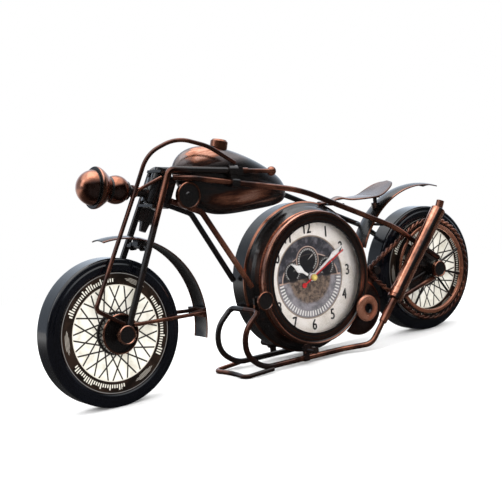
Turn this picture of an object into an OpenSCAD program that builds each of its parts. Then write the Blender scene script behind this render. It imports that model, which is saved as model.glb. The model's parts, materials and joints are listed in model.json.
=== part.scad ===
// Desk clock in the form of a motorcycle, bent from steel rod and pressed sheet.
// X runs from the front wheel to the rear wheel, the dial faces -Y, Z is up.
// The bike is drawn with its front axle at x = 0 and its centre plane at y = 0,
// then moved so that the origin is the middle of its footprint, on the table.

/* [Wheels] */
// Distance between the two axles
wheelbase = 311; // [300:1:340]
// Outer diameter of both wheels
wheel_d = 108; // [100:1:112]
// Width of both wheels
wheel_w = 20; // [16:0.5:22]
// Radius of the rounded tyre shoulder
tyre_round = 2.5; // [1:0.25:4]
// Diameter of the printed spoke disc
print_d = 88; // [70:1:90]
// Thickness of the printed disc
print_t = 0.8; // [0.4:0.1:1.2]
// Diameter of both axles
axle_d = 5; // [3:0.5:6]
// Diameter of the cup on each side of the front hub
cup_d = 29.4; // [22:0.2:34]
// Depth of the hub cup
cup_h = 7.6; // [4:0.2:8]
// Diameter of the round axle nuts
nut_d = 14; // [12:0.5:18]

/* [Fork and handlebars] */
// Lean of the fork from upright, in degrees
rake = 25.7; // [22:0.1:28]
// Thickness of the fork and handlebar rod
fork_d = 5; // [4:0.5:6]
// Half the distance between the fork legs at the top
fork_top_half = 12; // [11:0.5:14]
// Height of the bend where a fork leg turns into a handlebar
bar_bend_z = 166; // [160:1:172]
// Half the distance between the handlebars at their clamps
bar_half = 18; // [17:0.5:22]
// Thickness of the brake levers
lever_d = 3.4; // [2.5:0.1:4]
// Diameter of the lever balls
ball_d = 7.4; // [5:0.2:8]
// Thickness of the long spring wire
wire_d = 3.2; // [2.5:0.1:4]
// Diameter of the steering head tube
head_d = 10.5; // [9:0.5:12]

/* [Headlight] */
// Diameter of the headlight ball
lamp_ball_d = 26; // [20:0.5:30]
// Diameter of the headlight flange
lamp_flange_d = 30.8; // [28:0.2:34]
// Diameter of the round neck behind the headlight
lamp_neck_d = 21; // [18:0.5:24]
// Diameter of the headlight stem
lamp_stem_d = 7.2; // [5:0.2:8]
// Upward tilt of the headlight, in degrees
lamp_tilt = 11; // [5:0.5:14]

/* [Frame] */
// Thickness of the frame tubes
tube_d = 4.5; // [3.5:0.25:5]
// Half the distance between the top rails beside the tank
rail_half = 18; // [17:0.25:20]
// Half the distance between the two cradle tubes
cradle_half = 18.5; // [18:0.25:21]
// Half the distance between the two down tubes
down_half = 10; // [9:0.25:11]
// Thickness of the stand wire
stand_d = 3.5; // [2.5:0.25:4]
// Clearance left at a soldered or clamped seat
seat_gap = 0.2; // [0.1:0.05:0.4]

/* [Tank and seat] */
// Length of the tank
tank_l = 103.5; // [95:0.5:110]
// Height of the tank at its fullest
tank_h = 52; // [44:1:54]
// Width of the tank at its fullest
tank_w = 29.2; // [24:0.2:31]
// Diameter of the filler cap
cap_d = 13.5; // [10:0.5:16]
// Height of the filler cap
cap_h = 6; // [5:0.5:9]
// Diameter of the round horn
horn_d = 20.4; // [14:0.2:22]
// Width of the seat pan
seat_w = 30; // [22:1:34]
// Thickness of the seat sheet
seat_t = 1.4; // [1:0.1:2]

/* [Mudguards] */
// Width of both mudguards
guard_w = 17; // [12:0.5:18]
// Thickness of the mudguard sheet
guard_t = 0.9; // [0.6:0.1:1.5]
// Inner radius of the front mudguard
front_guard_r = 70.5; // [66:0.5:72]
// Inner radius of the rear mudguard
rear_guard_r = 73.5; // [70:0.25:74]

/* [Clock] */
// Largest diameter of the clock drum
drum_d = 122.6; // [116:0.2:124]
// Outer diameter of the bezel
bezel_d = 107; // [104:0.5:112]
// Diameter of the bezel's opening
window_d = 88.5; // [80:0.5:92]
// How far the bezel stands in front of the centre plane
bezel_y = 18; // [16:0.5:19]
// How far the drum reaches behind the centre plane
drum_back_y = 15.5; // [14:0.5:16]
// Thickness of the drum sheet
drum_wall = 1.2; // [0.8:0.1:2]
// Width and height of the quartz movement
movement_w = 56; // [50:1:58]
// Diameter of the setting knob
knob_d = 12; // [8:0.5:14]

/* [Drive chain] */
// Radius of the chain's path round the rear pulley
chain_big_r = 42.6; // [40:0.2:43]
// Radius of the chain's path round the small sprocket
chain_small_r = 5.8; // [5.4:0.1:6.5]
// Thickness of the twisted pair of wires
chain_d = 4.4; // [3.6:0.1:4.8]
// Length of one full twist of the pair
chain_lay = 12; // [9:0.5:16]

/* [Exhaust] */
// Diameter of the muffler
muffler_d = 12.6; // [9:0.2:14]
// Length of the muffler
muffler_l = 90; // [75:1:95]
// Diameter of the sleeve and of the tail pipe
pipe_d = 6.6; // [6:0.2:8]
// Distance of the muffler from the centre plane
muffler_y = 29.4; // [27:0.1:32]

/* [Hidden] */
$fn = 64;

// Play of a wheel, hand or knob on its pin, and room round parts that turn past others
run_gap = 0.05;
free_gap = 0.4;

// Wheels
wheel_r = wheel_d / 2;
wheel_half = wheel_w / 2;
bead_w = 5.2;
bead_h = 0.8;
print_r = print_d / 2;
print_y = wheel_half - bead_h;
cup_wall = 1.2;
cup_front = print_y + cup_h;
bore_r = axle_d / 2 + run_gap;

// Fork: its legs splay from the handlebar bends down to the eyes on the axle
eye_t = fork_d + 0.2;
foot_y = cup_front + 0.8 + eye_t / 2;
eye_front = foot_y + eye_t / 2;
foot_x = 3.7;
foot_z = wheel_r + 2;
nut_t = 3.2;
bar_fall = 6.5;
bar_end_x = 111;
function fork_x(z) = foot_x + (z - foot_z) * tan(rake);
function fork_y(z) = foot_y + (fork_top_half - foot_y) * (z - foot_z) / (bar_bend_z - foot_z);
function on_fork(z) = [fork_x(z), -fork_y(z), z];
function on_head(z) = [fork_x(z), 0, z];
bar_end = [bar_end_x, -bar_half, bar_bend_z - bar_fall];

// Steering head, on the fork's line in the centre plane
head_low = 140.9;
head_top = 162;
lug_low = 142;
lug_half = 7;
lug_l = 12;

// Hub stack of the rear wheel and the tubes that reach it
boss_r = 7.2;
boss_in = foot_y - eye_t / 2 + 0.4;
hub_y = (boss_in + eye_front) / 2;

// Clock, cradle and seat keep their distance from the rear axle
clock = [wheelbase - 128.5, 0, 66];
cradle_x = clock[0] - 61.9;
seat_x = clock[0] + 21.9;

// Top rails and cradle
rail_root = [61, -(lug_half + tube_d / 2 + 0.15), head_top - 2.4];
rail_front = [74, -rail_half + 0.2, head_top - 4.4];
rail_middle = [clock[0] - 10.5, -rail_half, 138];
rail_rear = [wheelbase - 43, -hub_y + 0.7, 95.8];
rail_tail = [wheelbase + 4.6, -hub_y, wheel_r + 8.7];
low_z = 4.6;
cradle_top = 49.5;
stand_y = cradle_half + (tube_d + stand_d) / 2 + 0.25;

// Clock
drum_r = drum_d / 2;
back_r = drum_r - 1.1;
front_r = bezel_d / 2;
drum_front = bezel_y - 5.2;
dial_y = 8;
dial_t = 0.8;
post_r = 1.5;
minute_at = 57.6;
hour_at = minute_at / 12 - 60;
second_at = 61.8;

// Drive chain, its pulley and its sprocket
chain_y = wheel_half + 5;
sprocket = [clock[0] + 63.9, -chain_y, wheel_r + 8.2];
pulley_hub = [wheelbase, 0, wheel_r];
ring_d = 4;
ring_r = chain_big_r - chain_d / 2 - 0.9 - ring_d / 2;

// Exhaust
pipe_rise = 48.85;
pipe_dir = [cos(pipe_rise), 0, sin(pipe_rise)];
pipe_root = [wheelbase - 74, -muffler_y, 21.3];
sleeve_l = 22;
muffler_root = pipe_root + pipe_dir * (sleeve_l + 0.2);
muffler_end = muffler_root + pipe_dir * muffler_l;

// Mudguards
front_guard_at = [9.5, 0, 51];
guard_crown = 1.4;

// The origin is the middle of the footprint on the table
near_reach = muffler_y + muffler_d / 2 + 0.4;
far_reach = near_reach - 1.4;
home = [-wheelbase / 2, (near_reach - far_reach) / 2, 0];

function unit(v) = v / norm(v);
function angle_at(p, i) = acos(unit(p[i] - p[i - 1]) * unit(p[i + 1] - p[i]));

// Each ring of a bend is a place and a direction
function bend_rings(p, i, bend) =
    let (u = unit(p[i] - p[i - 1]), v = unit(p[i + 1] - p[i]), a = angle_at(p, i),
         n = max(2, ceil(a / 12)), c = p[i] + unit(v - u) * bend / cos(a / 2),
         arm = unit(p[i] - u * bend * tan(a / 2) - c))
    [for (k = [0 : n]) let (t = a * k / n)
        [c + bend * (arm * cos(t) + u * sin(t)), u * cos(t) - arm * sin(t)]];

// All rings of a rod with its bend radii listed in order
function rod_rings(p, bends) =
    let (e = len(p) - 1)
    concat([[p[0], unit(p[1] - p[0])]],
           [for (i = [1 : e - 1]) each bend_rings(p, i, bends[i - 1])],
           [[p[e], unit(p[e] - p[e - 1])]]);

// A normal for each ring, carried along without twisting
function carried(rings, i, seed) =
    let (t = rings[i][1], n = unit(seed - t * (seed * t)))
    i == len(rings) - 1 ? [n] : concat([n], carried(rings, i + 1, n));

// A rod of round section bent along a line of points
module bent_rod(p, bends, d, sides = 10) {
    rings = rod_rings(p, bends);
    seed = abs(rings[0][1][1]) < 0.9 ? [0, 1, 0] : [1, 0, 0];
    normals = carried(rings, 0, seed);
    e = len(rings) - 1;
    points = [for (i = [0 : e], s = [0 : sides - 1])
        let (n = normals[i], b = cross(rings[i][1], n), a = 360 * (s + 0.5) / sides)
        rings[i][0] + d / 2 * (n * cos(a) + b * sin(a))];
    walls = [for (i = [0 : e - 1], s = [0 : sides - 1])
        let (a = i * sides + s, b = i * sides + (s + 1) % sides)
        each [[a, a + sides, b], [b, a + sides, b + sides]]];
    ends = [for (s = [1 : sides - 2])
        each [[0, s, s + 1], [e * sides, e * sides + s + 1, e * sides + s]]];
    polyhedron(points, concat(walls, ends), convexity = 8);
}

// A straight rod between two points
module rod(a, b, d) {
    v = b - a;
    translate(a)
        rotate([0, acos(v[2] / norm(v)), atan2(v[1], v[0])])
            cylinder(h = norm(v), d = d);
}

// Parts of the bike stand in its own frame, then move to the table's
module bike() translate(home) children();
// Height in the child's frame becomes distance in front of the centre plane
module facing(at) translate(at) rotate([90, 0, 0]) children();
// A profile of [radius, distance in front of the centre plane] turned round an axle
module lathed(at, profile) facing(at) rotate_extrude() polygon(profile);
// A disc or sleeve round an axle between two distances in front of the centre plane
module washer(at, r, from, to, hole = 0) facing(at)
    translate([0, 0, from])
        difference() {
            cylinder(h = to - from, r = r);
            if (hole > 0) translate([0, 0, -1]) cylinder(h = to - from + 2, r = hole);
        }
module pair() {
    children();
    mirror([0, 1, 0]) children();
}

// ---------- wheels ----------
module wheel_body(at) {
    side = wheel_half - 0.6;
    half = concat(
        [[bore_r, print_y - print_t], [print_r + 0.2, print_y - print_t], [print_r + 0.2, side],
         [print_r + 1.2, wheel_half], [print_r + bead_w, wheel_half], [print_r + bead_w + 1, side]],
        [for (a = [0 : 15 : 90])
            [wheel_r - tyre_round * (1 - sin(a)), side - tyre_round * (1 - cos(a))]]);
    e = len(half) - 1;
    lathed(at, concat(half, [for (i = [0 : e]) [half[e - i][0], -half[e - i][1]]]));
}
module wheel_prints(at) pair() washer(at, print_r, print_y - print_t, print_y, axle_d / 2 + free_gap);
module front_drum() color("#1b1c1d") bike() wheel_body([0, 0, wheel_r]);
module rear_drum() color("#1b1c1d") bike() wheel_body(pulley_hub);
module front_prints() color("#b9a678") bike() wheel_prints([0, 0, wheel_r]);
module rear_prints() color("#b9a678") bike() wheel_prints(pulley_hub);
module front_cups() color("#232120") bike() pair()
    lathed([0, 0, wheel_r],
           [[axle_d / 2 + free_gap, print_y], [cup_d / 2, print_y], [cup_d / 2, cup_front - 0.5],
            [cup_d / 2 - 0.4, cup_front], [cup_d / 2 - cup_wall, cup_front],
            [cup_d / 2 - cup_wall - 0.2, cup_front - 3.3], [axle_d / 2 + free_gap, cup_front - 3.3]]);

// ---------- axles ----------
axle_half = eye_front + 1.8;
module axles() color("#5a4638") bike() {
    washer([0, 0, wheel_r], axle_d / 2, -axle_half, axle_half);
    washer(pulley_hub, axle_d / 2, -axle_half, axle_half);
}
module cap_nut(at) lathed(at,
    [[0, eye_front + 2], [bore_r, eye_front + 2], [bore_r, eye_front + seat_gap],
     [nut_d / 2, eye_front + seat_gap], [nut_d / 2, eye_front + nut_t], [nut_d / 2 - 0.4, eye_front + nut_t + 0.4],
     [nut_d / 2 - 1, eye_front + nut_t + 0.4], [nut_d / 2 - 1.5, eye_front + nut_t - 0.2],
     [0, eye_front + nut_t - 0.2]]);
module axle_nuts() color("#2a2523") bike() pair() {
    cap_nut([0, 0, wheel_r]);
    cap_nut(pulley_hub);
}
module rear_bosses() color("#2a2523") bike() {
    pair() washer(pulley_hub, boss_r, boss_in, eye_front, bore_r);
    mirror([0, 1, 0]) washer(pulley_hub, 6, wheel_half + 0.6, boss_in - seat_gap, bore_r);
}

// ---------- fork and handlebars ----------
module fork_leg() difference() {
    union() {
        washer([0, 0, wheel_r], 5, foot_y - eye_t / 2, eye_front);
        bent_rod([on_fork(foot_z + 0.8), on_fork(bar_bend_z), bar_end], [6], fork_d, 12);
    }
    washer([0, 0, wheel_r], bore_r, foot_y - 5, foot_y + 5);
}
module fork_left() color("#5e4636") bike() fork_leg();
module fork_right() color("#2c2725") bike() mirror([0, 1, 0]) fork_leg();
// A child's Z lies along the fork's line, with its own origin at height z
module leaned(z) translate(on_head(z)) rotate([0, rake, 0]) children();
module fork_yokes() color("#2c2725") bike() {
    leaned(head_top + 0.3)
        translate([-5, -fork_y(head_top) + fork_d / 2 + 0.3, 0])
            cube([10, 2 * fork_y(head_top) - fork_d - 0.6, 2]);
    leaned(head_low - 2.4)
        translate([-4.5, -fork_y(head_low) + fork_d / 2 + 0.4, 0])
            cube([9, 2 * fork_y(head_low) - fork_d - 0.8, 2]);
}
module head_tube() color("#5e4636") bike() {
    leaned(head_low) cylinder(h = (head_top - head_low) / cos(rake), d = head_d);
    leaned(head_top + 2.4) cylinder(h = 2.4, d = 9);
}
module head_nut() color("#33302e") bike() leaned(head_low - 3) mirror([0, 0, 1]) {
    cylinder(h = 10.4, d = 12.5, $fn = 6);
    translate([0, 0, 10.2]) cylinder(h = 7, r1 = 4, r2 = 2.6);
}
module head_lug() color("#33302e") bike() difference() {
    leaned(lug_low) difference() {
        union() {
            cylinder(h = 18, r = 7.2);
            translate([0, -lug_half, 0]) cube([lug_l, 2 * lug_half, (head_top - lug_low) / cos(rake) - 0.5]);
        }
        translate([0, 0, -1]) cylinder(h = 2 * (head_top - lug_low), d = head_d + 2 * seat_gap);
    }
    // The lamp's stem passes through the front of the collar
    translate(lamp_at) rotate([0, 90 + lamp_tilt, 0]) cylinder(h = 47, d = lamp_stem_d + 0.6);
}
bar_dir = unit(bar_end - on_fork(bar_bend_z));
rail_dir = unit(rail_middle - rail_front);
lever_root = [117.3, -bar_half, bar_end[2] - 0.6];
lever_tip = [144, -bar_half - 2, lever_root[2] - 3.2];
module brake_levers() color("#5e4636") bike() pair() {
    rod(lever_root, lever_tip, lever_d);
    rod(lever_root, lever_root + unit(lever_tip - lever_root) * 5, lever_d + 1.2);
    translate(lever_tip) sphere(d = ball_d);
}
module bar_clamps() color("#232120") bike() pair() {
    bar_at = bar_end - bar_dir * 6;
    rail_at = rail_front + rail_dir * (bar_end_x - 5 - rail_front[0]) / rail_dir[0];
    difference() {
        union() {
            rod(bar_at, bar_at + bar_dir * 7.4, fork_d + 3);
            rod(rail_at, rail_at + rail_dir * 7, tube_d + 3);
            translate([bar_at[0] + 0.6, -bar_half - 2, rail_at[2] - 1])
                cube([6, 3.6, bar_end[2] - rail_at[2] + 1]);
            translate([bar_end_x + 0.4, -bar_half - 2.6, bar_end[2] - 4]) cube([5.6, 5, 6.4]);
        }
        rod(bar_at - bar_dir * 3, bar_end + bar_dir * 0.3, fork_d + 2 * seat_gap);
        rod(rail_at - rail_dir * 3, rail_at + rail_dir * 10, tube_d + 2 * seat_gap);
        translate([bar_at[0] - 10, -bar_half + 2.4, rail_at[2] - 12]) cube([30, 20, 40]);
    }
}
wire_line = [[112.4, -bar_half + 0.6, 165], [91, -14.5, 180], [66, -11.5, 188.4], [41.5, -8.6, 179],
             [30, -7.4, 155], [-19, -foot_y + 2.2, 74.5], [2, -foot_y, 60.8]];
module spring_wire() color("#2e2b29") bike() bent_rod(wire_line, [40, 32, 26, 40, 4], wire_d);

// ---------- headlight, turned about its own axis, rearwards along Z ----------
lamp_at = [-0.3, 0, 158.8];
clip_s = 32.6;
module lamp() bike() translate(lamp_at) rotate([0, 90 + lamp_tilt, 0]) children();
module lamp_ball() color("#8a6248") lamp() intersection() {
    sphere(d = lamp_ball_d);
    translate([0, 0, -lamp_ball_d]) cylinder(h = lamp_ball_d - 0.7, r = lamp_ball_d);
}
module lamp_cup() color("#8a6248") lamp() rotate_extrude()
    polygon([[0, -0.5], [lamp_flange_d / 2, -0.5], [lamp_flange_d / 2, 1.2], [lamp_flange_d / 2 - 0.6, 1.7],
             [8.6, 11.2], [0, 11.2]]);
module lamp_neck() color("#8a6248") lamp() intersection() {
    translate([0, 0, 17.8]) sphere(d = lamp_neck_d);
    translate([0, 0, 11.4]) cylinder(h = 13.2, r = lamp_neck_d);
}
module lamp_stem() color("#33302e") bike() difference() {
    translate(lamp_at) rotate([0, 90 + lamp_tilt, 0]) translate([0, 0, 24.8]) union() {
        cylinder(h = 2, r = 7);
        cylinder(h = 20, d = lamp_stem_d);
    }
    leaned(lug_low - 5) cylinder(h = 40, d = head_d + 2 * seat_gap);
}
module lamp_brace() color("#8a6248") bike() difference() {
    union() {
        translate(lamp_at) rotate([0, 90 + lamp_tilt, 0])
            translate([0, 0, clip_s - 1.5]) cylinder(h = 3, r = 4.6);
        rod([31.6, -3.8, 152.6], [51.4, -9.5, 160.9], 2.6);
    }
    translate(lamp_at) rotate([0, 90 + lamp_tilt, 0]) cylinder(h = 60, d = lamp_stem_d + 2 * seat_gap);
}

// ---------- mudguards ----------
// A crowned strip of sheet bent on an arc, angles from +X towards +Z
module guard(at, r, from, to) {
    half = guard_w / 2;
    edge = [for (k = [-4 : 4]) [r - guard_crown * k * k / 16, half * k / 4]];
    back = [for (k = [-4 : 4]) [r + guard_t - guard_crown * k * k / 16, -half * k / 4]];
    translate(at) rotate([90, 0, 0]) rotate([0, 0, from])
        rotate_extrude(angle = to - from, $fn = 96) polygon(concat(edge, back));
}
module front_guard() color("#2c2725") bike() guard(front_guard_at, front_guard_r, -12.6, 99.4);
module rear_guard() color("#2c2725") bike() guard(pulley_hub, rear_guard_r, 73, 158);
bolt_x = 30.7;
bolt_z = foot_z + (bolt_x - foot_x) / tan(rake);
module guard_bolts() color("#33302e") bike() {
    reach = fork_y(bolt_z) - fork_d / 2 - 0.25;
    facing([bolt_x, 0, bolt_z]) {
        translate([0, 0, -reach]) cylinder(h = 2 * reach, d = 3.5);
        translate([0, 0, 5.4]) cylinder(h = 3.4, d = 6.8, $fn = 6);
        translate([0, 0, -8.8]) cylinder(h = 3.4, d = 6.8, $fn = 6);
    }
    up = atan2(bolt_z - front_guard_at[2], bolt_x - front_guard_at[0]);
    away = norm([bolt_x, 0, bolt_z] - front_guard_at);
    translate(front_guard_at) rotate([0, -up, 0])
        translate([away, -4, -3]) cube([front_guard_r - away - 0.6, 8, 6]);
    // The rear mudguard hangs on a pin between the top rails
    facing([wheelbase - 54.1, 0, 99.4])
        translate([0, 0, -rail_half + 0.8]) cylinder(h = 2 * rail_half - 1.6, d = 2.4);
}
module guard_stays() color("#2c2725") bike() {
    clip = [76.6, 0, 55.6];
    pair() rod([8.8, -foot_y, 59.3], clip - [0, 9.4, 0], 3);
    translate(clip + [-1.6, -10.4, -3.4]) cube([3, 20.8, 6.8]);
}

// ---------- frame ----------
module rail() bent_rod([rail_root, rail_front, rail_middle, rail_rear, rail_tail], [10, 150, 100], tube_d);
module rail_left() color("#5e4636") bike() rail();
module rail_right() color("#2c2725") bike() mirror([0, 1, 0]) rail();
module down_tube_left() color("#5e4636") bike()
    bent_rod([[57, -down_half + 0.4, 142.5], [83, -down_half, 131],
              [cradle_x + 1.8, -down_half, 67.6]], [8], tube_d);
module down_tube_right() color("#2c2725") bike()
    bent_rod([[57, down_half - 0.4, 142.5], [86, down_half, 129.5],
              [cradle_x - 0.9, down_half, 72]], [8], tube_d);
cradle_front = [[cradle_x + 0.4, -cradle_half, 4.8], [cradle_x - 15.6, -cradle_half, 17],
                [cradle_x - 15.2, -cradle_half, 36],
                [cradle_x, -cradle_half, cradle_top], [cradle_x, -0.1, cradle_top]];
module cradle_left() color("#2e2b29") bike()
    bent_rod(concat([pipe_root - pipe_dir * 0.2, pipe_root - pipe_dir * 21,
                     [clock[0] + 20.5, -cradle_half, low_z - 0.3]], cradle_front),
             [12, 15, 25, 18, 20, 4.5], tube_d);
module cradle_right() color("#2e2b29") bike() mirror([0, 1, 0])
    bent_rod(concat([[wheelbase - 4.9, -hub_y, 47.1],
                     [clock[0] + 31.5, -cradle_half, low_z - 0.2]], cradle_front),
             [15, 25, 18, 20, 4.5], tube_d);
module stand() color("#2e2b29") bike()
    bent_rod([[cradle_x + 6, -stand_y, 3.4], [cradle_x - 20, -stand_y + 1.6, stand_d / 2],
              [cradle_x - 16.2, 0, stand_d / 2], [cradle_x - 20, stand_y - 1.6, stand_d / 2],
              [cradle_x + 6, stand_y, 3.4]], [5, 60, 5], stand_d);

// ---------- tank: two pressed halves that meet in a seam, their section an ellipse ----------
tank_x = 67;
tank_n = 20;
tank_sides = 28;
function hump(s, p) = pow(max(0, 4 * s * (1 - s)), p);
function seam_z(x) = 163.5 - 0.1 * (x - tank_x) - 0.0015 * pow(x - tank_x, 2);
function tank_ring(t) =
    let (x = tank_x + tank_l * t, w = tank_w / 2 * hump(pow(t, 0.85), 0.6),
         up = tank_h * 0.41 * hump(pow(t, 0.697), 0.85 - 0.45 * t),
         down = tank_h * 0.6 * hump(pow(t, 0.625), 1.4 - 0.9 * t))
    [for (k = [0 : tank_sides - 1]) let (a = 360 * k / tank_sides)
        [x, -w * cos(a), seam_z(x) + (sin(a) > 0 ? up : down) * sin(a)]];
module tank() color("#1d1c1c") bike() {
    ts = [for (i = [1 : tank_n - 1]) 0.5 - 0.5 * cos(180 * i / tank_n)];
    tip = (tank_n - 1) * tank_sides;
    points = concat([for (t = ts) each tank_ring(t)],
                    [[tank_x, 0, seam_z(tank_x)], [tank_x + tank_l, 0, seam_z(tank_x + tank_l)]]);
    walls = [for (i = [0 : tank_n - 3], k = [0 : tank_sides - 1])
        let (a = i * tank_sides + k, b = i * tank_sides + (k + 1) % tank_sides)
        each [[a, a + tank_sides, b], [b, a + tank_sides, b + tank_sides]]];
    caps = [for (k = [0 : tank_sides - 1]) let (m = (k + 1) % tank_sides, e = tip - tank_sides)
        each [[tip, k, m], [tip + 1, e + m, e + k]]];
    polyhedron(points, concat(walls, caps), convexity = 4);
}
function tank_top(x) = let (t = (x - tank_x) / tank_l)
    seam_z(x) + tank_h * 0.41 * hump(pow(t, 0.697), 0.85 - 0.45 * t);
module tank_cap() color("#8a6248") bike() {
    x = tank_x + 43.5;
    slope = atan((tank_top(x + 4) - tank_top(x - 4)) / 8);
    translate([x, 0, tank_top(x)]) rotate([0, -slope, 0]) difference() {
        union() {
            translate([0, 0, -3]) cylinder(h = cap_h + 1.6, d = cap_d);
            translate([0, 0, cap_h - 1.6]) cylinder(h = 1.6, d1 = cap_d, d2 = cap_d - 2.4);
        }
        translate([-20, 0, -11]) rotate([0, 90, 0]) cylinder(h = 40, r = 11.3);
    }
}
module horn() color("#232120") bike() lathed([68.8, 0, 145.2],
    [[0, 12.7], [horn_d / 2 - 2, 12.7], [horn_d / 2, 14], [horn_d / 2, 17], [horn_d / 2 - 0.4, 17.4],
     [horn_d / 2 - 1.3, 17.4], [horn_d / 2 - 1.7, 16.6], [3, 16.6], [2.2, 17.2], [0, 17.2]]);

// ---------- seat ----------
seat_l = 77;
seat_n = 26;
seat_m = 8;
function ease(t) = let (s = min(1, max(0, t))) s * s * (3 - 2 * s);
// Height and half width of the seat at a distance behind its nose
function seat_line(s) = 124.8 + 2.2 * exp(-pow((s - 19.6) / 6, 2)) + 13 * pow(max(0, s - 53.6) / 29.5, 1.5);
function seat_round(s) = sqrt(max(0.03, 1 - pow(max(0, s - 55) / 22.3, 2.6)));
function seat_half(s) = (3.2 + (seat_w / 2 - 3.2) * ease((s - 13.6) / 30)) * seat_round(s);
function seat_lift(s) = 2.6 * ease((s - 45.6) / 30) * seat_round(s) - 1.2;
function seat_point(i, k, drop) =
    let (s = seat_l * (1 - pow(1 - i / seat_n, 1.5)), v = 2 * k / seat_m - 1)
    [seat_x + s, seat_half(s) * v, seat_line(s) + seat_lift(s) * v * v - drop];
module seat() color("#1d1c1c") bike() {
    row = seat_m + 1;
    low = row * (seat_n + 1);
    points = [for (drop = [0, seat_t], i = [0 : seat_n], k = [0 : seat_m]) seat_point(i, k, drop)];
    skins = [for (i = [0 : seat_n - 1], k = [0 : seat_m - 1]) let (a = i * row + k, c = a + row)
        each [[a, a + 1, c], [a + 1, c + 1, c], [low + a, low + c, low + a + 1],
              [low + a + 1, low + c, low + c + 1]]];
    rim = concat([for (i = [0 : seat_n]) i * row + seat_m], [for (k = [seat_m - 1 : -1 : 0]) seat_n * row + k],
                 [for (i = [seat_n - 1 : -1 : 0]) i * row], [for (k = [1 : seat_m - 1]) k]);
    n = len(rim);
    edges = [for (j = [0 : n - 1]) let (a = rim[j], b = rim[(j + 1) % n])
        each [[a, low + a, b], [b, low + a, low + b]]];
    polyhedron(points, concat(skins, edges), convexity = 6);
}
module seat_mounts() color("#33302e") bike() {
    // A bridge between the top rails carries the seat's nose
    bridge_s = 7.6;
    bridge_t = 1.4;
    bridge_z = seat_line(bridge_s) + seat_lift(bridge_s) - seat_t - bridge_t - 0.35;
    translate([seat_x + bridge_s, -rail_half + 1.9, bridge_z]) cube([6, 2 * rail_half - 3.8, bridge_t]);
    // A bolt on the rear mudguard carries the middle of the seat
    bolt_s = 61.6;
    low = wheel_r + sqrt(pow(rear_guard_r, 2) - pow(pulley_hub[0] - seat_x - bolt_s, 2));
    top = seat_line(bolt_s) - seat_t;
    difference() {
        translate([seat_x + bolt_s, 0, low]) {
            cylinder(h = top - low - 0.7, d = 3.4);
            cylinder(h = 4.6, d = 7.4, $fn = 6);
            translate([0, 0, top - low - 4.4]) cylinder(h = 3.2, d = 9);
        }
        washer(pulley_hub, rear_guard_r + guard_t + seat_gap + 0.1, -guard_w, guard_w);
    }
}

// ---------- pulley and drive chain ----------
module pulley() color("#232120") bike() {
    washer(pulley_hub, 7, wheel_half + 0.6, boss_in - seat_gap, bore_r);
    facing(pulley_hub) {
        translate([0, 0, chain_y - 1.5]) difference() {
            cylinder(h = 3, r = chain_big_r - chain_d / 2 - 0.15, $fn = 96);
            translate([0, 0, -1]) cylinder(h = 5, r = ring_r + ring_d / 2 + 0.1, $fn = 96);
        }
        for (a = [20, -16, -52, 160, 196, 232]) rotate([0, 0, a]) translate([6.5, 0, chain_y])
            rotate([0, 90, 0]) cylinder(h = ring_r - ring_d / 2 - 6.7, d = 2);
        difference() {
            translate([0, 0, chain_y - 3.6]) linear_extrude(1.4)
                polygon([[3, 7], [3, -7], [-25, -18], [-27, 28]]);
            translate([0, 0, chain_y - 6]) cylinder(h = 6, r = bore_r);
        }
    }
}
module pulley_ring() color("#8a6248") bike() facing(pulley_hub)
    translate([0, 0, chain_y]) rotate_extrude($fn = 96) translate([ring_r, 0]) circle(d = ring_d, $fn = 32);
module sprocket() color("#33302e") bike() {
    facing([sprocket[0], 0, sprocket[2]]) translate([0, 0, chain_y - 2.2])
        cylinder(h = 5.4, r = chain_small_r - chain_d / 2 - 0.2);
}
// The chain is two wires twisted together, run round both wheels in one closed loop
span = [sprocket[0] - wheelbase, sprocket[2] - wheel_r];
reach = norm(span);
span_at = atan2(span[1], span[0]);
lap = acos((chain_big_r - chain_small_r) / reach);
straight = reach * sin(lap);
big_arc = chain_big_r * (360 - 2 * lap) * PI / 180;
small_arc = chain_small_r * 2 * lap * PI / 180;
loop_l = big_arc + small_arc + 2 * straight;
// Place in the chain's plane and outward direction, in degrees, at a distance along the loop
function on_arc(c, r, a) = [c[0] + r * cos(a), c[1] + r * sin(a), a];
function on_loop(s) =
    s < big_arc ? on_arc([0, 0], chain_big_r, span_at + lap + s / chain_big_r * 180 / PI) :
    s < big_arc + straight ?
        let (p = on_arc([0, 0], chain_big_r, span_at - lap), q = on_arc(span, chain_small_r, span_at - lap),
             f = (s - big_arc) / straight)
        [p[0] + (q[0] - p[0]) * f, p[1] + (q[1] - p[1]) * f, span_at - lap] :
    s < big_arc + straight + small_arc ?
        on_arc(span, chain_small_r, span_at - lap + (s - big_arc - straight) / chain_small_r * 180 / PI) :
    let (p = on_arc(span, chain_small_r, span_at + lap), q = on_arc([0, 0], chain_big_r, span_at + lap),
         f = (s - big_arc - straight - small_arc) / straight)
    [p[0] + (q[0] - p[0]) * f, p[1] + (q[1] - p[1]) * f, span_at + lap];
chain_turns = round(loop_l / chain_lay);
chain_sides = 10;
chain_n = chain_turns * 8;
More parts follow.
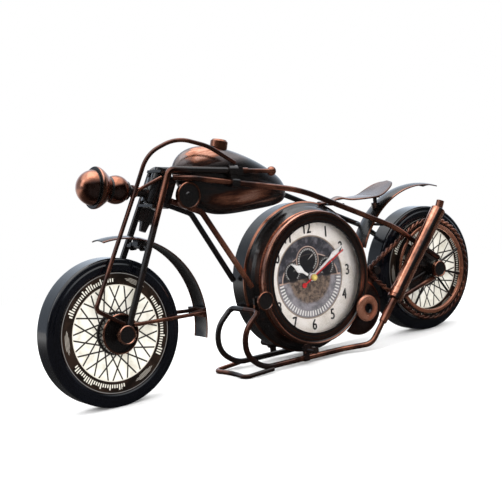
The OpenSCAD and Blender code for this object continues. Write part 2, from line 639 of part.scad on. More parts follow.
// Distance from the middle of the pair to its outline, which is a figure of eight
function pair_r(a) = chain_d / 2 * (0.72 + 0.28 * cos(2 * a));
module drive_chain() color("#6b4d3b") bike() facing(pulley_hub) translate([0, 0, chain_y]) {
    points = [for (i = [0 : chain_n - 1])
        let (p = on_loop(loop_l * i / chain_n), twist = 360 * chain_turns * i / chain_n)
        for (k = [0 : chain_sides - 1]) let (a = 360 * k / chain_sides, r = pair_r(a), b = a + twist)
            [p[0] + r * cos(b) * cos(p[2]), p[1] + r * cos(b) * sin(p[2]), r * sin(b)]];
    faces = [for (i = [0 : chain_n - 1], k = [0 : chain_sides - 1])
        let (m = (i + 1) % chain_n, j = (k + 1) % chain_sides,
             a = i * chain_sides + k, b = i * chain_sides + j,
             c = m * chain_sides + k, d = m * chain_sides + j)
        each [[a, b, c], [b, d, c]]];
    polyhedron(points, faces, convexity = 10);
}

// ---------- engine ----------
cover = [clock[0] + 45.5, 0, 33.6];
module engine_cover() color("#2e2b29") bike() difference() {
    facing(cover) translate([0, 0, 11.1]) linear_extrude(1.5) {
        circle(r = 23.1);
        rotate(atan2(sprocket[2] - cover[2], sprocket[0] - cover[0]))
            translate([0, -5]) square([norm([sprocket[0] - cover[0], sprocket[2] - cover[2]]), 10]);
        translate([sprocket[0] - cover[0], sprocket[2] - cover[2]]) circle(r = 5);
    }
    facing(clock) cylinder(h = 20, r = 58);
}
ring_at = [clock[0] + 46.4, 0, 33.5];
module engine_ring() color("#8a6248") bike() {
    round_r = 2.2;
    outer = [for (a = [-90 : 22.5 : 90]) [8.9 + round_r * cos(a), 20.8 + round_r * sin(a)]];
    inner = [for (a = [90 : 22.5 : 270]) [4.8 + round_r * cos(a), 20.8 + round_r * sin(a)]];
    lathed(ring_at, concat(outer, inner));
    washer(ring_at, 2.3, 12.8, 19.3);
}

// ---------- exhaust ----------
module exhaust_pipes() color("#4a3a30") bike() {
    rod(pipe_root, pipe_root + pipe_dir * sleeve_l, pipe_d);
    difference() {
        rod(muffler_end - [1, 0, 2], muffler_end + [3.2, 0, 6.8], pipe_d);
        rod(muffler_end - pipe_dir * 12, muffler_end + pipe_dir * 0.2, muffler_d + 1);
        rod(muffler_end + [1.2, 0, 2.6], muffler_end + [4, 0, 8.5], pipe_d - 2);
    }
}
module muffler() color("#a67654") bike() {
    rod(muffler_root, muffler_end, muffler_d);
    rod(muffler_root + pipe_dir * 3, muffler_root + pipe_dir * 9, muffler_d + 0.8);
}
module muffler_stay() color("#4a3a30") bike() difference() {
    rod([pipe_root[0] + 21, -muffler_y + 2, 36.3], [wheelbase - 3.6, -hub_y, 46.6], 4);
    rod(muffler_root - pipe_dir, muffler_end, muffler_d + 0.8 + 2 * seat_gap);
    washer(pulley_hub, boss_r + seat_gap, boss_in - 5, eye_front + 5);
}

// ---------- fittings on the cradle ----------
module pivot_bolt() color("#232120") bike() {
    at = [cradle_x + 3.4, 0, 57.2];
    washer(at, 3, 12, 23.2);
    lathed(at, [[0, 23], [7.4, 23], [7.4, 24.6], [7, 25], [6.3, 25], [5.9, 24.4], [0, 24.4]]);
    translate([cradle_x - 2.2, -17, 52]) cube([6.8, 2, 8]);
}
module foot_pegs() color("#232120") bike() pair() {
    side = cradle_half + tube_d / 2 + 0.15;
    translate([clock[0] - 24.5, -side - 1.9, 2.8]) cube([5, 1.9, 12.4]);
    facing([clock[0] - 22, 0, 12.6]) {
        translate([0, 0, side + 1.5]) cylinder(h = 3.4, d = 8.6, $fn = 6);
        translate([0, 0, side + 1.5]) cylinder(h = far_reach - side - 1.5, d = 5.6);
    }
}

// ---------- clock ----------
module drum() color("#8d8067") bike() lathed(clock,
    [[back_r, -drum_back_y], [back_r, -2], [drum_r, -0.8], [drum_r, 0.8], [drum_r - 2.1, 2.6],
     [drum_r - 3.9, 5.2], [drum_r - 5.1, 8.4], [front_r + 0.4, drum_front],
     [front_r + 0.4 - drum_wall, drum_front], [drum_r - 5.1 - drum_wall, 8.2],
     [drum_r - 3.9 - drum_wall, 4.8], [drum_r - 2.1 - drum_wall, 2], [back_r - drum_wall, 0],
     [back_r - drum_wall, -drum_back_y]]);
lip_r = window_d / 2;
module bezel() color("#4a3a30") bike() lathed(clock,
    [[front_r, drum_front + 0.1], [front_r + 0.4, bezel_y - 3.2], [front_r + 0.4, bezel_y - 1.4],
     [front_r - 0.2, bezel_y - 0.3], [front_r - 1, bezel_y], [front_r - 1.9, bezel_y - 0.5],
     [front_r - 2.6, bezel_y - 1.3], [front_r - 3.5, bezel_y - 1], [lip_r + 0.7, bezel_y],
     [lip_r, bezel_y - 0.3], [lip_r, bezel_y - 1.8], [lip_r + 3.2, bezel_y - 1.8], [lip_r + 3.2, bezel_y - 3.7],
     [front_r - 1.4, bezel_y - 3.7], [front_r - 1.4, drum_front + 0.1]]);
module lens() color([0.9, 0.95, 1, 0.3]) bike()
    washer(clock, lip_r + 3, bezel_y - 3.5, bezel_y - 3.5 + lens_t());
function lens_t() = 1.5;
module dial() color("#c8b98d") bike() washer(clock, front_r - 0.9, dial_y - dial_t, dial_y, post_r + 2);
module back_cover() color("#232120") bike() difference() {
    washer(clock, back_r - drum_wall - 0.2, -drum_back_y, -drum_back_y + 1.2);
    translate(clock + [-movement_w / 2 - 2, 0, -movement_w / 2 - 2])
        cube([movement_w + 4, 30, movement_w + 4]);
}
move_back = 8.8;
battery_z = clock[2] - movement_w / 2 + 10;
module movement() color("#1b1c1d") bike() difference() {
    union() {
        translate(clock + [-movement_w / 2, -dial_y + dial_t + 0.2, -movement_w / 2])
            cube([movement_w, move_back + dial_y - dial_t - 0.2, movement_w]);
        washer(clock, post_r + 1.4, dial_y - dial_t - 1, dial_y + 0.6);
        washer(clock, post_r, dial_y - 2, dial_y + 5.4);
    }
    translate([clock[0] - 26, -6, battery_z - 7.6]) cube([52, 20, 15.2]);
    washer(clock, post_r + run_gap, -move_back - 1, -move_back + 4);
}
module battery() color("#b08a3c") bike() {
    rod([clock[0] - 25, 1.4, battery_z], [clock[0] + 23.4, 1.4, battery_z], 14.2);
    rod([clock[0] + 23.4, 1.4, battery_z], [clock[0] + 25, 1.4, battery_z], 5.4);
}
module set_knob() color("#1b1c1d") bike() {
    washer(clock, post_r, -move_back - 1, -move_back + 3.6);
    washer(clock, knob_d / 2, -move_back - 4.6, -move_back - 0.4);
}
// A hand is drawn upright in the plane of the dial, then turned clockwise
module hand(at, front, t, hub) facing(clock) translate([0, 0, front - t]) rotate([0, 0, -at]) difference() {
    linear_extrude(t) union() {
        circle(r = hub);
        children();
    }
    translate([0, 0, -1]) cylinder(h = t + 2, r = post_r + run_gap);
}
// An outline given by its right side, from the hub to the tip
module leaf(side) polygon(concat(side, [for (i = [len(side) - 1 : -1 : 0]) [-side[i][0], side[i][1]]]));
module hour_hand() color("#e6e2d8") bike() hand(hour_at, dial_y + 1.8, 0.8, 3.4)
    leaf([[1, 0], [0.9, 9], [1.6, 11], [2.8, 13.6], [2.8, 15.4], [1.5, 18], [1, 19.5], [0.3, 23.5]]);
module minute_hand() color("#e6e2d8") bike() hand(minute_at, dial_y + 3, 0.8, 3.2)
    leaf([[0.9, 0], [0.8, 23], [1.4, 25.4], [2.3, 28], [2.3, 30], [1.2, 33], [0.9, 35], [0.3, 40]]);
module second_hand() color("#a02820") bike() {
    hand(second_at, dial_y + 4.2, 0.7, 2.6) {
        translate([-0.5, -12]) square([1, 50]);
        translate([0, -11]) circle(r = 2);
    }
    lathed(clock, [[post_r + run_gap, dial_y + 4], [2.6, dial_y + 4], [2.6, dial_y + 5.6], [2, dial_y + 6.1],
                   [0, dial_y + 6.1], [0, dial_y + 5.5], [post_r + run_gap, dial_y + 5.5]]);
}

front_drum();
front_prints();
front_cups();
axles();
axle_nuts();
fork_left();
fork_right();
fork_yokes();
head_tube();
head_nut();
head_lug();
brake_levers();
bar_clamps();
spring_wire();
lamp_brace();
lamp_ball();
lamp_cup();
lamp_neck();
lamp_stem();
front_guard();
guard_bolts();
guard_stays();
rail_left();
rail_right();
down_tube_left();
down_tube_right();
cradle_left();
cradle_right();
stand();
tank();
tank_cap();
horn();
seat();
seat_mounts();
rear_guard();
rear_drum();
rear_prints();
rear_bosses();
pulley();
pulley_ring();
drive_chain();
sprocket();
engine_cover();
engine_ring();
exhaust_pipes();
muffler();
muffler_stay();
pivot_bolt();
foot_pegs();
drum();
bezel();
lens();
dial();
back_cover();
movement();
battery();
set_knob();
hour_hand();
minute_hand();
second_hand();
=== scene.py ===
import json
import math
from functools import reduce

import bmesh
import bpy
from mathutils import Matrix, Vector


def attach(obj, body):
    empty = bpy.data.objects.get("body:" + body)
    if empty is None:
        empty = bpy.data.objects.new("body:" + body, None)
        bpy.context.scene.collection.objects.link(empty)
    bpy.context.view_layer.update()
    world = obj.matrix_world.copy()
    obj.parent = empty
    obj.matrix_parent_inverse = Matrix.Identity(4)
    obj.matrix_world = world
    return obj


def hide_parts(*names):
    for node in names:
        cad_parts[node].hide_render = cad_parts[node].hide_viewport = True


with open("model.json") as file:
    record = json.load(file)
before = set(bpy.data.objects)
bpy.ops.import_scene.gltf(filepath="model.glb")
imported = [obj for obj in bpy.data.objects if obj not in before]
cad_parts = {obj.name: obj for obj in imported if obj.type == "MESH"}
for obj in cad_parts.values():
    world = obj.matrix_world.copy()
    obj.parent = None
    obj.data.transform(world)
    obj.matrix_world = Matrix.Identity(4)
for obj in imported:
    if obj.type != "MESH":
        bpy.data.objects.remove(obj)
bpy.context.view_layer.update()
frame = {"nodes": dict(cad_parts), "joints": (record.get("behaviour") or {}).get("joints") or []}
nodes = frame["nodes"]
scene = bpy.context.scene

MM = 0.001
TURN = 2 * math.pi


# ---------------------------------------------------------------- sizes and places
# Lengths are in mm in the bike's own frame, as in the part's source: the front axle is at x = 0, the centre
# plane at y = 0 and the table at z = 0, and the dial faces -Y.
def joint_place(name):
    """Where a joint turns, in mm, in the row frame."""
    joint = next(j for j in frame["joints"] if j["name"] == name)
    return [round(v / MM, 3) for v in joint["pos_m"]]


front_axle = joint_place("front_wheel_spin")
rear_axle = joint_place("rear_wheel_spin")
clock_post = joint_place("minute_turn")
HOME = Vector((front_axle[0], front_axle[1], 0.0))
WHEEL_R = front_axle[2]
WHEELBASE = rear_axle[0] - front_axle[0]
# points of the side view, (x, z)
FRONT_AXLE = (0.0, WHEEL_R)
REAR_AXLE = (WHEELBASE, WHEEL_R)
CLOCK = (clock_post[0] - front_axle[0], clock_post[2])
HORN = (68.8, 145.2)
PIVOT = (124.0, 57.2)
COVER = (228.0, 33.6)
EYELET = (228.9, 33.6)
SPROCKET = (CLOCK[0] + 63.9, WHEEL_R + 8.2)
DIAL_Y = 8.0

FORK_D = 5.0
TUBE_D = 4.5
STAND_D = 3.5
WIRE_D = 3.2
RAKE = math.radians(25.7)
FOOT_X = 3.7
FOOT_Y = 20.2
FOOT_Z = WHEEL_R + 2
FORK_TOP_HALF = 12.0
BAR_BEND_Z = 166.0
BAR_END = (111, -18, 159.5)
HUB_Y = 20.4
RAIL_HALF = 18
DOWN_HALF = 10
CRADLE_HALF = 18.5
CRADLE_X = CLOCK[0] - 61.9
CRADLE_TOP = 49.5
STAND_Y = CRADLE_HALF + (TUBE_D + STAND_D) / 2 + 0.25

LAMP = (-0.3, 0, 158.8)
LAMP_TILT = math.radians(11)
LAMP_AXIS = (math.cos(LAMP_TILT), 0, -math.sin(LAMP_TILT))
LAMP_BALL_R = 13
LAMP_NECK_R = 10.5
PIPE_RISE = math.radians(48.85)
PIPE_DIR = Vector((math.cos(PIPE_RISE), 0, math.sin(PIPE_RISE)))
PIPE_ACROSS = (math.sin(PIPE_RISE), 0, -math.cos(PIPE_RISE))
PIPE_ROOT = Vector((WHEELBASE - 74, -29.4, 21.3))
MUFFLER_FROM = 22.2
MUFFLER_L = 90

CHAIN_Y = 15.0
CHAIN_BIG_R = 42.6
CHAIN_SMALL_R = 5.8
CHAIN_LAY = 12
CHAIN_WIRE_D = 2.2
# the two wires are pressed together a little
CHAIN_TWIST_R = 1.08

TANK_X = 67.0
TANK_L = 103.5
TANK_H = 52.0
TANK_W = 29.2
SEAM_RIDGE = 0.45
SEAM_SOFT = 0.55
SEAT_X = CLOCK[0] + 21.9
SEAT_L = 77
SEAT_W = 30
SEAT_T = 1.4
SEAT_ROLL = 0.35
SEAT_BEAD_D = 1.4

NUMERAL_SIZE = 12.4
NUMERAL_R = 39.4
NUMERAL_WIDTH = 0.76
NUMERAL_HALF_T = 0.06
# five copies of a numeral, moved by this, make it bold
BOLD_SHIFTS = ((0, 0), (-0.42, 0), (0.42, 0), (0, -0.3), (0, 0.3))
BOLD_LIFT = 0.004


def at(p):
    """A point of the bike's own frame, in mm, as a point of the row frame, in metres."""
    return (Vector(p) + HOME) * MM


# ---------------------------------------------------------------- node trees
class Tree:
    """A short way to write a node tree. A value is a number, a colour or another node's socket."""

    def __init__(self, owner, output, coordinate):
        owner.use_nodes = True
        self.nodes = owner.node_tree.nodes
        self.links = owner.node_tree.links
        self.nodes.clear()
        self.out = self.add(output)
        self.coord = self.add("ShaderNodeTexCoord").outputs[coordinate]

    def add(self, kind, **values):
        node = self.nodes.new(kind)
        for key, value in values.items():
            setattr(node, key, value)
        return node

    def put(self, socket, value):
        if isinstance(value, bpy.types.NodeSocket):
            self.links.new(value, socket)
        elif isinstance(value, tuple) and socket.type == "RGBA":
            socket.default_value = (*value, 1)
        else:
            socket.default_value = value

    def calc(self, operation, a, b=0.0):
        node = self.add("ShaderNodeMath", operation=operation)
        self.put(node.inputs[0], a)
        self.put(node.inputs[1], b)
        return node.outputs[0]

    def plus(self, *values):
        return reduce(lambda a, b: self.calc("ADD", a, b), values)

    def minus(self, a, b):
        return self.calc("SUBTRACT", a, b)

    def times(self, *values):
        return reduce(lambda a, b: self.calc("MULTIPLY", a, b), values)

    def most(self, a, b):
        return self.calc("MAXIMUM", a, b)

    def invert(self, value):
        return self.calc("SUBTRACT", 1.0, value)

    def part(self, value):
        return self.calc("FRACT", value)

    def size(self, value):
        return self.calc("ABSOLUTE", value)

    def mix(self, share, a, b):
        node = self.add("ShaderNodeMix", data_type="RGBA")
        self.put(node.inputs[0], share)
        self.put(node.inputs[6], a)
        self.put(node.inputs[7], b)
        return node.outputs[2]

    def step(self, value, low, high, start=0.0, end=1.0):
        """Goes smoothly from start to end while value goes from low to high."""
        node = self.add("ShaderNodeMapRange", interpolation_type="SMOOTHSTEP")
        self.put(node.inputs["Value"], value)
        self.put(node.inputs["From Min"], low)
        self.put(node.inputs["From Max"], high)
        self.put(node.inputs["To Min"], start)
        self.put(node.inputs["To Max"], end)
        return node.outputs[0]

    def band(self, value, low, high, soft):
        """1 between low and high, 0 outside, with soft edges."""
        return self.times(self.step(value, low - soft, low + soft),
                          self.invert(self.step(value, high - soft, high + soft)))

    def xyz(self):
        node = self.add("ShaderNodeSeparateXYZ")
        self.put(node.inputs[0], self.coord)
        return node.outputs


class Mat(Tree):
    """A material's tree, in the row frame's metres, and the slot of the record that it stands for."""

    def __init__(self, name, slot=None):
        self.material = bpy.data.materials.new(name)
        self.slot = slot
        super().__init__(self.material, "ShaderNodeOutputMaterial", "Object")

    def noise(self, scale, detail, rough, distort=0.0, stretch=None):
        place = self.coord
        if stretch:
            mapping = self.add("ShaderNodeMapping")
            self.put(mapping.inputs["Vector"], place)
            self.put(mapping.inputs["Scale"], stretch)
            place = mapping.outputs[0]
        node = self.add("ShaderNodeTexNoise")
        self.put(node.inputs["Vector"], place)
        self.put(node.inputs["Scale"], scale)
        self.put(node.inputs["Detail"], detail)
        self.put(node.inputs["Roughness"], rough)
        self.put(node.inputs["Distortion"], distort)
        return node.outputs[0]

    def ramp(self, value, stops):
        node = self.add("ShaderNodeValToRGB")
        elements = node.color_ramp.elements
        while len(elements) < len(stops):
            elements.new(0.5)
        for element, (position, colour) in zip(elements, stops):
            element.position = position
            element.color = (*colour, 1)
        self.put(node.inputs[0], value)
        return node.outputs[0]

    def polar(self, cx, cz):
        """Radius in mm and clockwise angle in radians round an axle, seen from the dial's side."""
        x, _, z = self.xyz()
        dx = self.minus(x, (cx + HOME.x) * MM)
        dz = self.minus(z, cz * MM)
        r = self.calc("SQRT", self.plus(self.times(dx, dx), self.times(dz, dz)))
        return self.times(r, 1 / MM), self.calc("ARCTAN2", dx, dz)

    def bump(self, height, strength, distance=0.0001):
        node = self.add("ShaderNodeBump")
        self.put(node.inputs["Strength"], strength)
        self.put(node.inputs["Distance"], distance)
        self.put(node.inputs["Height"], height)
        return node.outputs[0]

    def surface(self, **values):
        """Ends the tree in one Principled shader, whose inputs are named with _ for a space."""
        shader = self.add("ShaderNodeBsdfPrincipled")
        for key, value in values.items():
            self.put(shader.inputs[key.replace("_", " ")], value)
        self.links.new(shader.outputs[0], self.out.inputs[0])

    def blend(self, share, first, second):
        """Ends the tree in a mix of two shaders."""
        mixer = self.add("ShaderNodeMixShader")
        self.put(mixer.inputs[0], share)
        self.links.new(first.outputs[0], mixer.inputs[1])
        self.links.new(second.outputs[0], mixer.inputs[2])
        self.links.new(mixer.outputs[0], self.out.inputs[0])


# ---------------------------------------------------------------- materials
# the colours of rubbed lacquer, from untouched to bare copper, by tone
RUBBED = ((0.0, (0.0025, 0.0022, 0.0022)), (0.26, (0.0045, 0.0033, 0.003)), (0.42, (0.018, 0.008, 0.006)),
          (0.58, (0.115, 0.041, 0.025)), (0.8, (0.40, 0.155, 0.09)), (1.0, (0.70, 0.36, 0.26)))
# the greys of the painted sheen on top surfaces, a reflection of the pale room above
SHEEN_DARK = (0.10, 0.08, 0.078)
SHEEN_LIGHT = (0.21, 0.17, 0.165)
TYRE_BLACK = (0.0012, 0.0014, 0.0024)


def shade(colour, factor):
    return tuple(c * factor for c in colour)


def antique(name, slot, tone=0.5, spread=0.5, rings=(), patches=(), slabs=(), rough=0.22, coat=0.5,
            top_sheen=None, hole_shade=(), grain=None, wear=0.16, metal=1.0):
    """Black lacquer rubbed through to copper plate, with lengths in mm. On some pieces it also carries
    painted highlights, reflections and shade.

    tone is 0 for black, 0.58 for brown, 0.8 for copper and 1 for bright, and spread is how much it varies.
    rings are [x, z, inner, outer, tone] round an axle, and a sixth value is how far in front it begins.
    patches are [centre, radii, change of tone]; some are rubbed copper and some are painted highlights and
    shade.
    slabs are [point, direction, from, to, change of tone]; across the muffler they are painted reflections.
    top_sheen is a painted sheen on top, a grey reflection of the pale room above: [height where it starts,
    height where it is full, strength, lightness].
    hole_shade is [x, z, radius]: painted shade, black inside that radius round an axle.
    grain stretches the fine wear, wear is its depth, and metal is how metallic bare copper is."""
    m = Mat(name, slot)
    wide = m.noise(34, detail=2.5, rough=0.5, distort=0.4)
    fine = m.noise(300, detail=5, rough=0.62, stretch=grain)
    grit = m.minus(fine, 0.5)
    t = m.plus(tone - spread / 2, m.times(wide, spread))
    x, y, z = m.xyz()
    for centre, radii, change in patches:
        away = 0.0
        for axis, middle, radius in zip((x, y, z), at(centre), radii):
            d = m.calc("DIVIDE", m.minus(axis, middle), radius * MM)
            away = m.plus(away, m.times(d, d))
        soft = m.invert(m.step(m.plus(away, m.times(fine, 0.5)), 0.1, 1.6))
        t = m.plus(t, m.times(soft, change))
    for point, way, start, end, change in slabs:
        along = 0.0
        for axis, middle, share in zip((x, y, z), at(point), Vector(way).normalized()):
            along = m.plus(along, m.times(m.minus(axis, middle), share / MM))
        t = m.plus(t, m.times(m.band(along, start, end, 0.3), change))
    for cx, cz, inner, outer, level, *front in rings:
        r, _ = m.polar(cx, cz)
        edge = m.band(m.plus(r, m.times(grit, 0.5)), inner, outer, 0.25)
        if front:
            edge = m.times(edge, m.calc("LESS_THAN", y, (HOME.y - front[0]) * MM))
        t = m.most(t, m.times(edge, m.plus(level - 0.12, m.times(wide, 0.24))))
    t = m.plus(t, m.times(grit, wear))
    # painted shade: black inside a hole
    for cx, cz, radius in hole_shade:
        r, _ = m.polar(cx, cz)
        t = m.times(t, m.step(r, radius - 0.3, radius + 0.3))
    colour = m.ramp(t, RUBBED)
    # painted sheen: a grey reflection of the room above on top surfaces, kept off rubbed copper
    if top_sheen:
        low, full, strength, lightness = top_sheen
        grey = m.mix(m.step(wide, 0.3, 0.7), shade(SHEEN_DARK, lightness), shade(SHEEN_LIGHT, lightness))
        sheen = m.step(m.plus(m.times(z, 1 / MM), m.times(fine, 2.0)), low, full)
        sheen = m.times(sheen, m.invert(m.step(t, 0.5, 0.72)))
        colour = m.mix(m.times(sheen, strength), colour, grey)
        t = m.most(t, m.times(sheen, 0.5))
    m.surface(Base_Color=colour, Metallic=m.times(m.step(t, 0.22, 0.5), metal),
              Roughness=m.plus(rough - 0.06, m.times(fine, 0.16)), Coat_Weight=coat, Coat_Roughness=0.1,
              Normal=m.bump(fine, 0.05))
    return m


def tyre_lacquer(name):
    """Smooth black lacquer with wide faint clouds."""
    m = Mat(name, "tyre")
    fine = m.noise(420, detail=5, rough=0.6)
    wide = m.noise(40, detail=3, rough=0.5)
    colour = m.mix(m.step(wide, 0.4, 0.75), TYRE_BLACK, shade(TYRE_BLACK, 2.0))
    m.surface(Base_Color=colour, Roughness=m.plus(0.12, m.times(wide, 0.1)), Specular_IOR_Level=0.35,
              Coat_Weight=0.6, Coat_Roughness=0.08, Normal=m.bump(fine, 0.006, 0.00004))
    return m


def plain(name, slot, colour, rough, metallic=0.0, scale=500, bumps=0.08, coat=0.0):
    """One colour with a fine mottle."""
    m = Mat(name, slot)
    fine = m.noise(scale, detail=5, rough=0.6)
    light = tuple(min(1, c * 1.15) for c in colour)
    m.surface(Base_Color=m.mix(m.step(fine, 0.3, 0.7), shade(colour, 0.82), light), Metallic=metallic,
              Roughness=m.plus(rough, m.times(fine, 0.12)), Coat_Weight=coat, Normal=m.bump(fine, bumps))
    return m


def clear_glass():
    """The clock's window. Nearly all light goes through, and part of the Fresnel share is mirrored."""
    m = Mat("window glass", "lens_glass")
    through = m.add("ShaderNodeBsdfTransparent")
    m.put(through.inputs["Color"], (0.975, 0.97, 0.97))
    mirror = m.add("ShaderNodeBsdfGlossy")
    m.put(mirror.inputs["Roughness"], 0.03)
    fresnel = m.add("ShaderNodeFresnel")
    m.put(fresnel.inputs["IOR"], 1.5)
    smear = m.plus(0.45, m.times(m.noise(60, detail=3, rough=0.5), 0.25))
    m.blend(m.times(fresnel.outputs[0], smear), through, mirror)
    return m


# ---------------------------------------------------------------- wheel prints
CARD = ((0.28, (0.46, 0.43, 0.35)), (0.5, (0.68, 0.655, 0.58)), (0.72, (0.76, 0.74, 0.68)))
SPOKE_INK = (0.022, 0.018, 0.016)
SPOKE_COUNT = 18
# the circle that the leaning spokes touch
SPOKE_CIRCLE_R = 10.5
# each of these pairs is where a soft edge starts and where it ends, in mm
SPOKE_HALF = (0.46, 0.72)
HUB_R = (15.6, 16.2)
BAND_FROM_R = (34.4, 34.7)
DASH_FOOT_R = (36.9, 37.3)
# the thin rings beside the band: inner and outer radius, and colour
RINGS = ((34.3, 35.0, (0.56, 0.52, 0.45)), (43.0, 43.45, (0.16, 0.155, 0.15)))
DASH_TOP_R = 39.6
DASH_TALLER = 1.5
DASH_COUNT = 126
ROWS = 3
LEAF_R = 39.3
LEAF_HALF = 1.9
LEAF_REACH = 0.11


def spokes(m, r, angle):
    """Two sets of thin spokes that lean opposite ways."""
    lean = m.calc("ARCCOSINE", m.calc("DIVIDE", SPOKE_CIRCLE_R, m.most(r, SPOKE_CIRCLE_R + 0.01)))
    run = m.calc("SQRT", m.most(m.minus(m.times(r, r), SPOKE_CIRCLE_R ** 2), 0.01))
    dark = 0.0
    for sign, shift in ((1.0, 0.0), (-1.0, 0.55)):
        turned = m.plus(angle, m.times(lean, sign))
        place = m.part(m.plus(m.times(turned, SPOKE_COUNT / TURN), 10 + shift))
        off = m.times(m.size(m.minus(place, 0.5)), TURN / SPOKE_COUNT)
        dark = m.most(dark, m.invert(m.step(m.times(off, run), *SPOKE_HALF)))
    return dark


def dashes(m, r, angle, turn):
    """Rows of plain dashes, some of them taller, as chance picks."""
    row = m.band(turn, 0.215, 0.785, 0.004)
    count = m.times(m.plus(angle, 10.0), DASH_COUNT / TURN)
    pick = m.add("ShaderNodeTexWhiteNoise", noise_dimensions="1D")
    m.put(pick.inputs["W"], m.calc("FLOOR", count))
    top = m.plus(DASH_TOP_R, m.times(m.calc("GREATER_THAN", pick.outputs[0], 0.62), DASH_TALLER))
    height = m.times(m.step(r, *DASH_FOOT_R), m.calc("LESS_THAN", r, top))
    return m.times(m.band(m.part(count), 0.26, 0.74, 0.08), row, height)


def leaves(m, r, turn):
    """A small striped leaf between two rows."""
    side = m.calc("MINIMUM", turn, m.invert(turn))
    swell = m.invert(m.calc("DIVIDE", m.times(side, side), LEAF_REACH ** 2))
    leaf = m.calc("LESS_THAN", m.size(m.minus(r, LEAF_R)), m.times(swell, LEAF_HALF))
    return m.times(leaf, m.band(m.part(m.times(r, 1.1)), 0.3, 0.75, 0.1))


def printed_wheel(name, cx, cz):
    """Cream card with crossed spokes, and a dark brown band with rows of plain dashes and leaves between."""
    m = Mat(name, "print_sheet")
    r, angle = m.polar(cx, cz)
    stain = m.noise(90, detail=6, rough=0.65, distort=0.4)
    fine = m.noise(700, detail=4, rough=0.6)
    turn = m.part(m.plus(m.times(angle, ROWS / TURN), 10.75))
    cream = m.ramp(stain, CARD)
    colour = m.mix(spokes(m, r, angle), cream, SPOKE_INK)
    band = m.mix(m.step(stain, 0.35, 0.65), (0.005, 0.003, 0.002), (0.019, 0.010, 0.006))
    band = m.mix(m.times(dashes(m, r, angle, turn), 0.85), band, (0.74, 0.71, 0.62))
    band = m.mix(m.times(leaves(m, r, turn), 0.6), band, (0.50, 0.46, 0.40))
    colour = m.mix(m.step(r, *BAND_FROM_R), colour, band)
    for inner, outer, ring in RINGS:
        colour = m.mix(m.band(r, inner, outer, 0.15), colour, ring)
    colour = m.mix(m.invert(m.step(r, *HUB_R)), colour, (0.016, 0.013, 0.012))
    m.surface(Base_Color=colour, Roughness=m.plus(0.42, m.times(fine, 0.2)), Specular_IOR_Level=0.12,
              Normal=m.bump(fine, 0.06))
    return m


# ---------------------------------------------------------------- dial print
DIAL_CREAM = ((0.25, (0.62, 0.56, 0.47)), (0.48, (0.86, 0.81, 0.75)), (0.7, (0.96, 0.92, 0.89)))
# the dark middle, and the angles from 12 at which its upper half turns into the lower one
MIDDLE_R = 33.2
LOWER_FROM = (1.60, 1.66)
# inner and outer radius of the white marks
MARK_R = (27.6, 31.8)
MARK_COUNT = 70
ARCH_HALF = 29.0
ARCH_H = 20.0
LINE_COPPER = (0.62, 0.42, 0.33)
# each gauge's centre from the dial's, its radius, the number of its ticks and the colour of its rim
GAUGES = ((-17.5, 6.4, 8.4, 24, (0.06, 0.05, 0.05)), (17.5, 6.4, 8.4, 24, (0.06, 0.05, 0.05)),
          (-1.5, 14.0, 11.4, 30, (0.58, 0.42, 0.34)))


def arch_panel(m, cx, cz, dark, above):
    """A plain arch with a thin copper rim, over the dial's middle line."""
    x, _, z = m.xyz()
    x = m.calc("DIVIDE", m.minus(x, (cx + HOME.x) * MM), ARCH_HALF * MM)
    z = m.calc("DIVIDE", m.minus(z, (cz - 1.0) * MM), ARCH_H * MM)
    reach = m.calc("SQRT", m.plus(m.times(x, x), m.times(z, z)))
    inside = m.invert(m.step(reach, 0.96, 1.0))
    dark = m.mix(m.times(inside, m.times(above, 0.8)), dark, (0.010, 0.011, 0.015))
    return m.mix(m.times(m.band(reach, 0.965, 1.0, 0.008), above), dark, (0.55, 0.40, 0.33))


def gauge(m, cx, cz, radius, ticks, rim, dark):
    """A round gauge with a rim, a ring of ticks that is open at the bottom, and a pointer."""
    r, angle = m.polar(cx, cz)
    inside = m.invert(m.step(r, radius - 0.2, radius + 0.2))
    dark = m.mix(m.times(inside, 0.92), dark, (0.008, 0.009, 0.012))
    dark = m.mix(m.band(r, radius - 0.6, radius + 0.1, 0.15), dark, rim)
    tick = m.part(m.times(m.plus(angle, 10.0), ticks / TURN))
    marks = m.times(m.band(tick, 0.3, 0.7, 0.07), m.band(r, radius * 0.72, radius * 0.86, 0.15))
    marks = m.times(marks, m.invert(m.band(m.size(angle), 2.5, 4.0, 0.05)))
    dark = m.mix(m.times(marks, 0.85), dark, (0.78, 0.78, 0.76))
    pointer = m.times(m.band(angle, 0.9, 1.05, 0.03), m.band(r, 0.0, radius * 0.6, 0.2))
    return m.mix(m.times(pointer, 0.7), dark, (0.75, 0.72, 0.68))


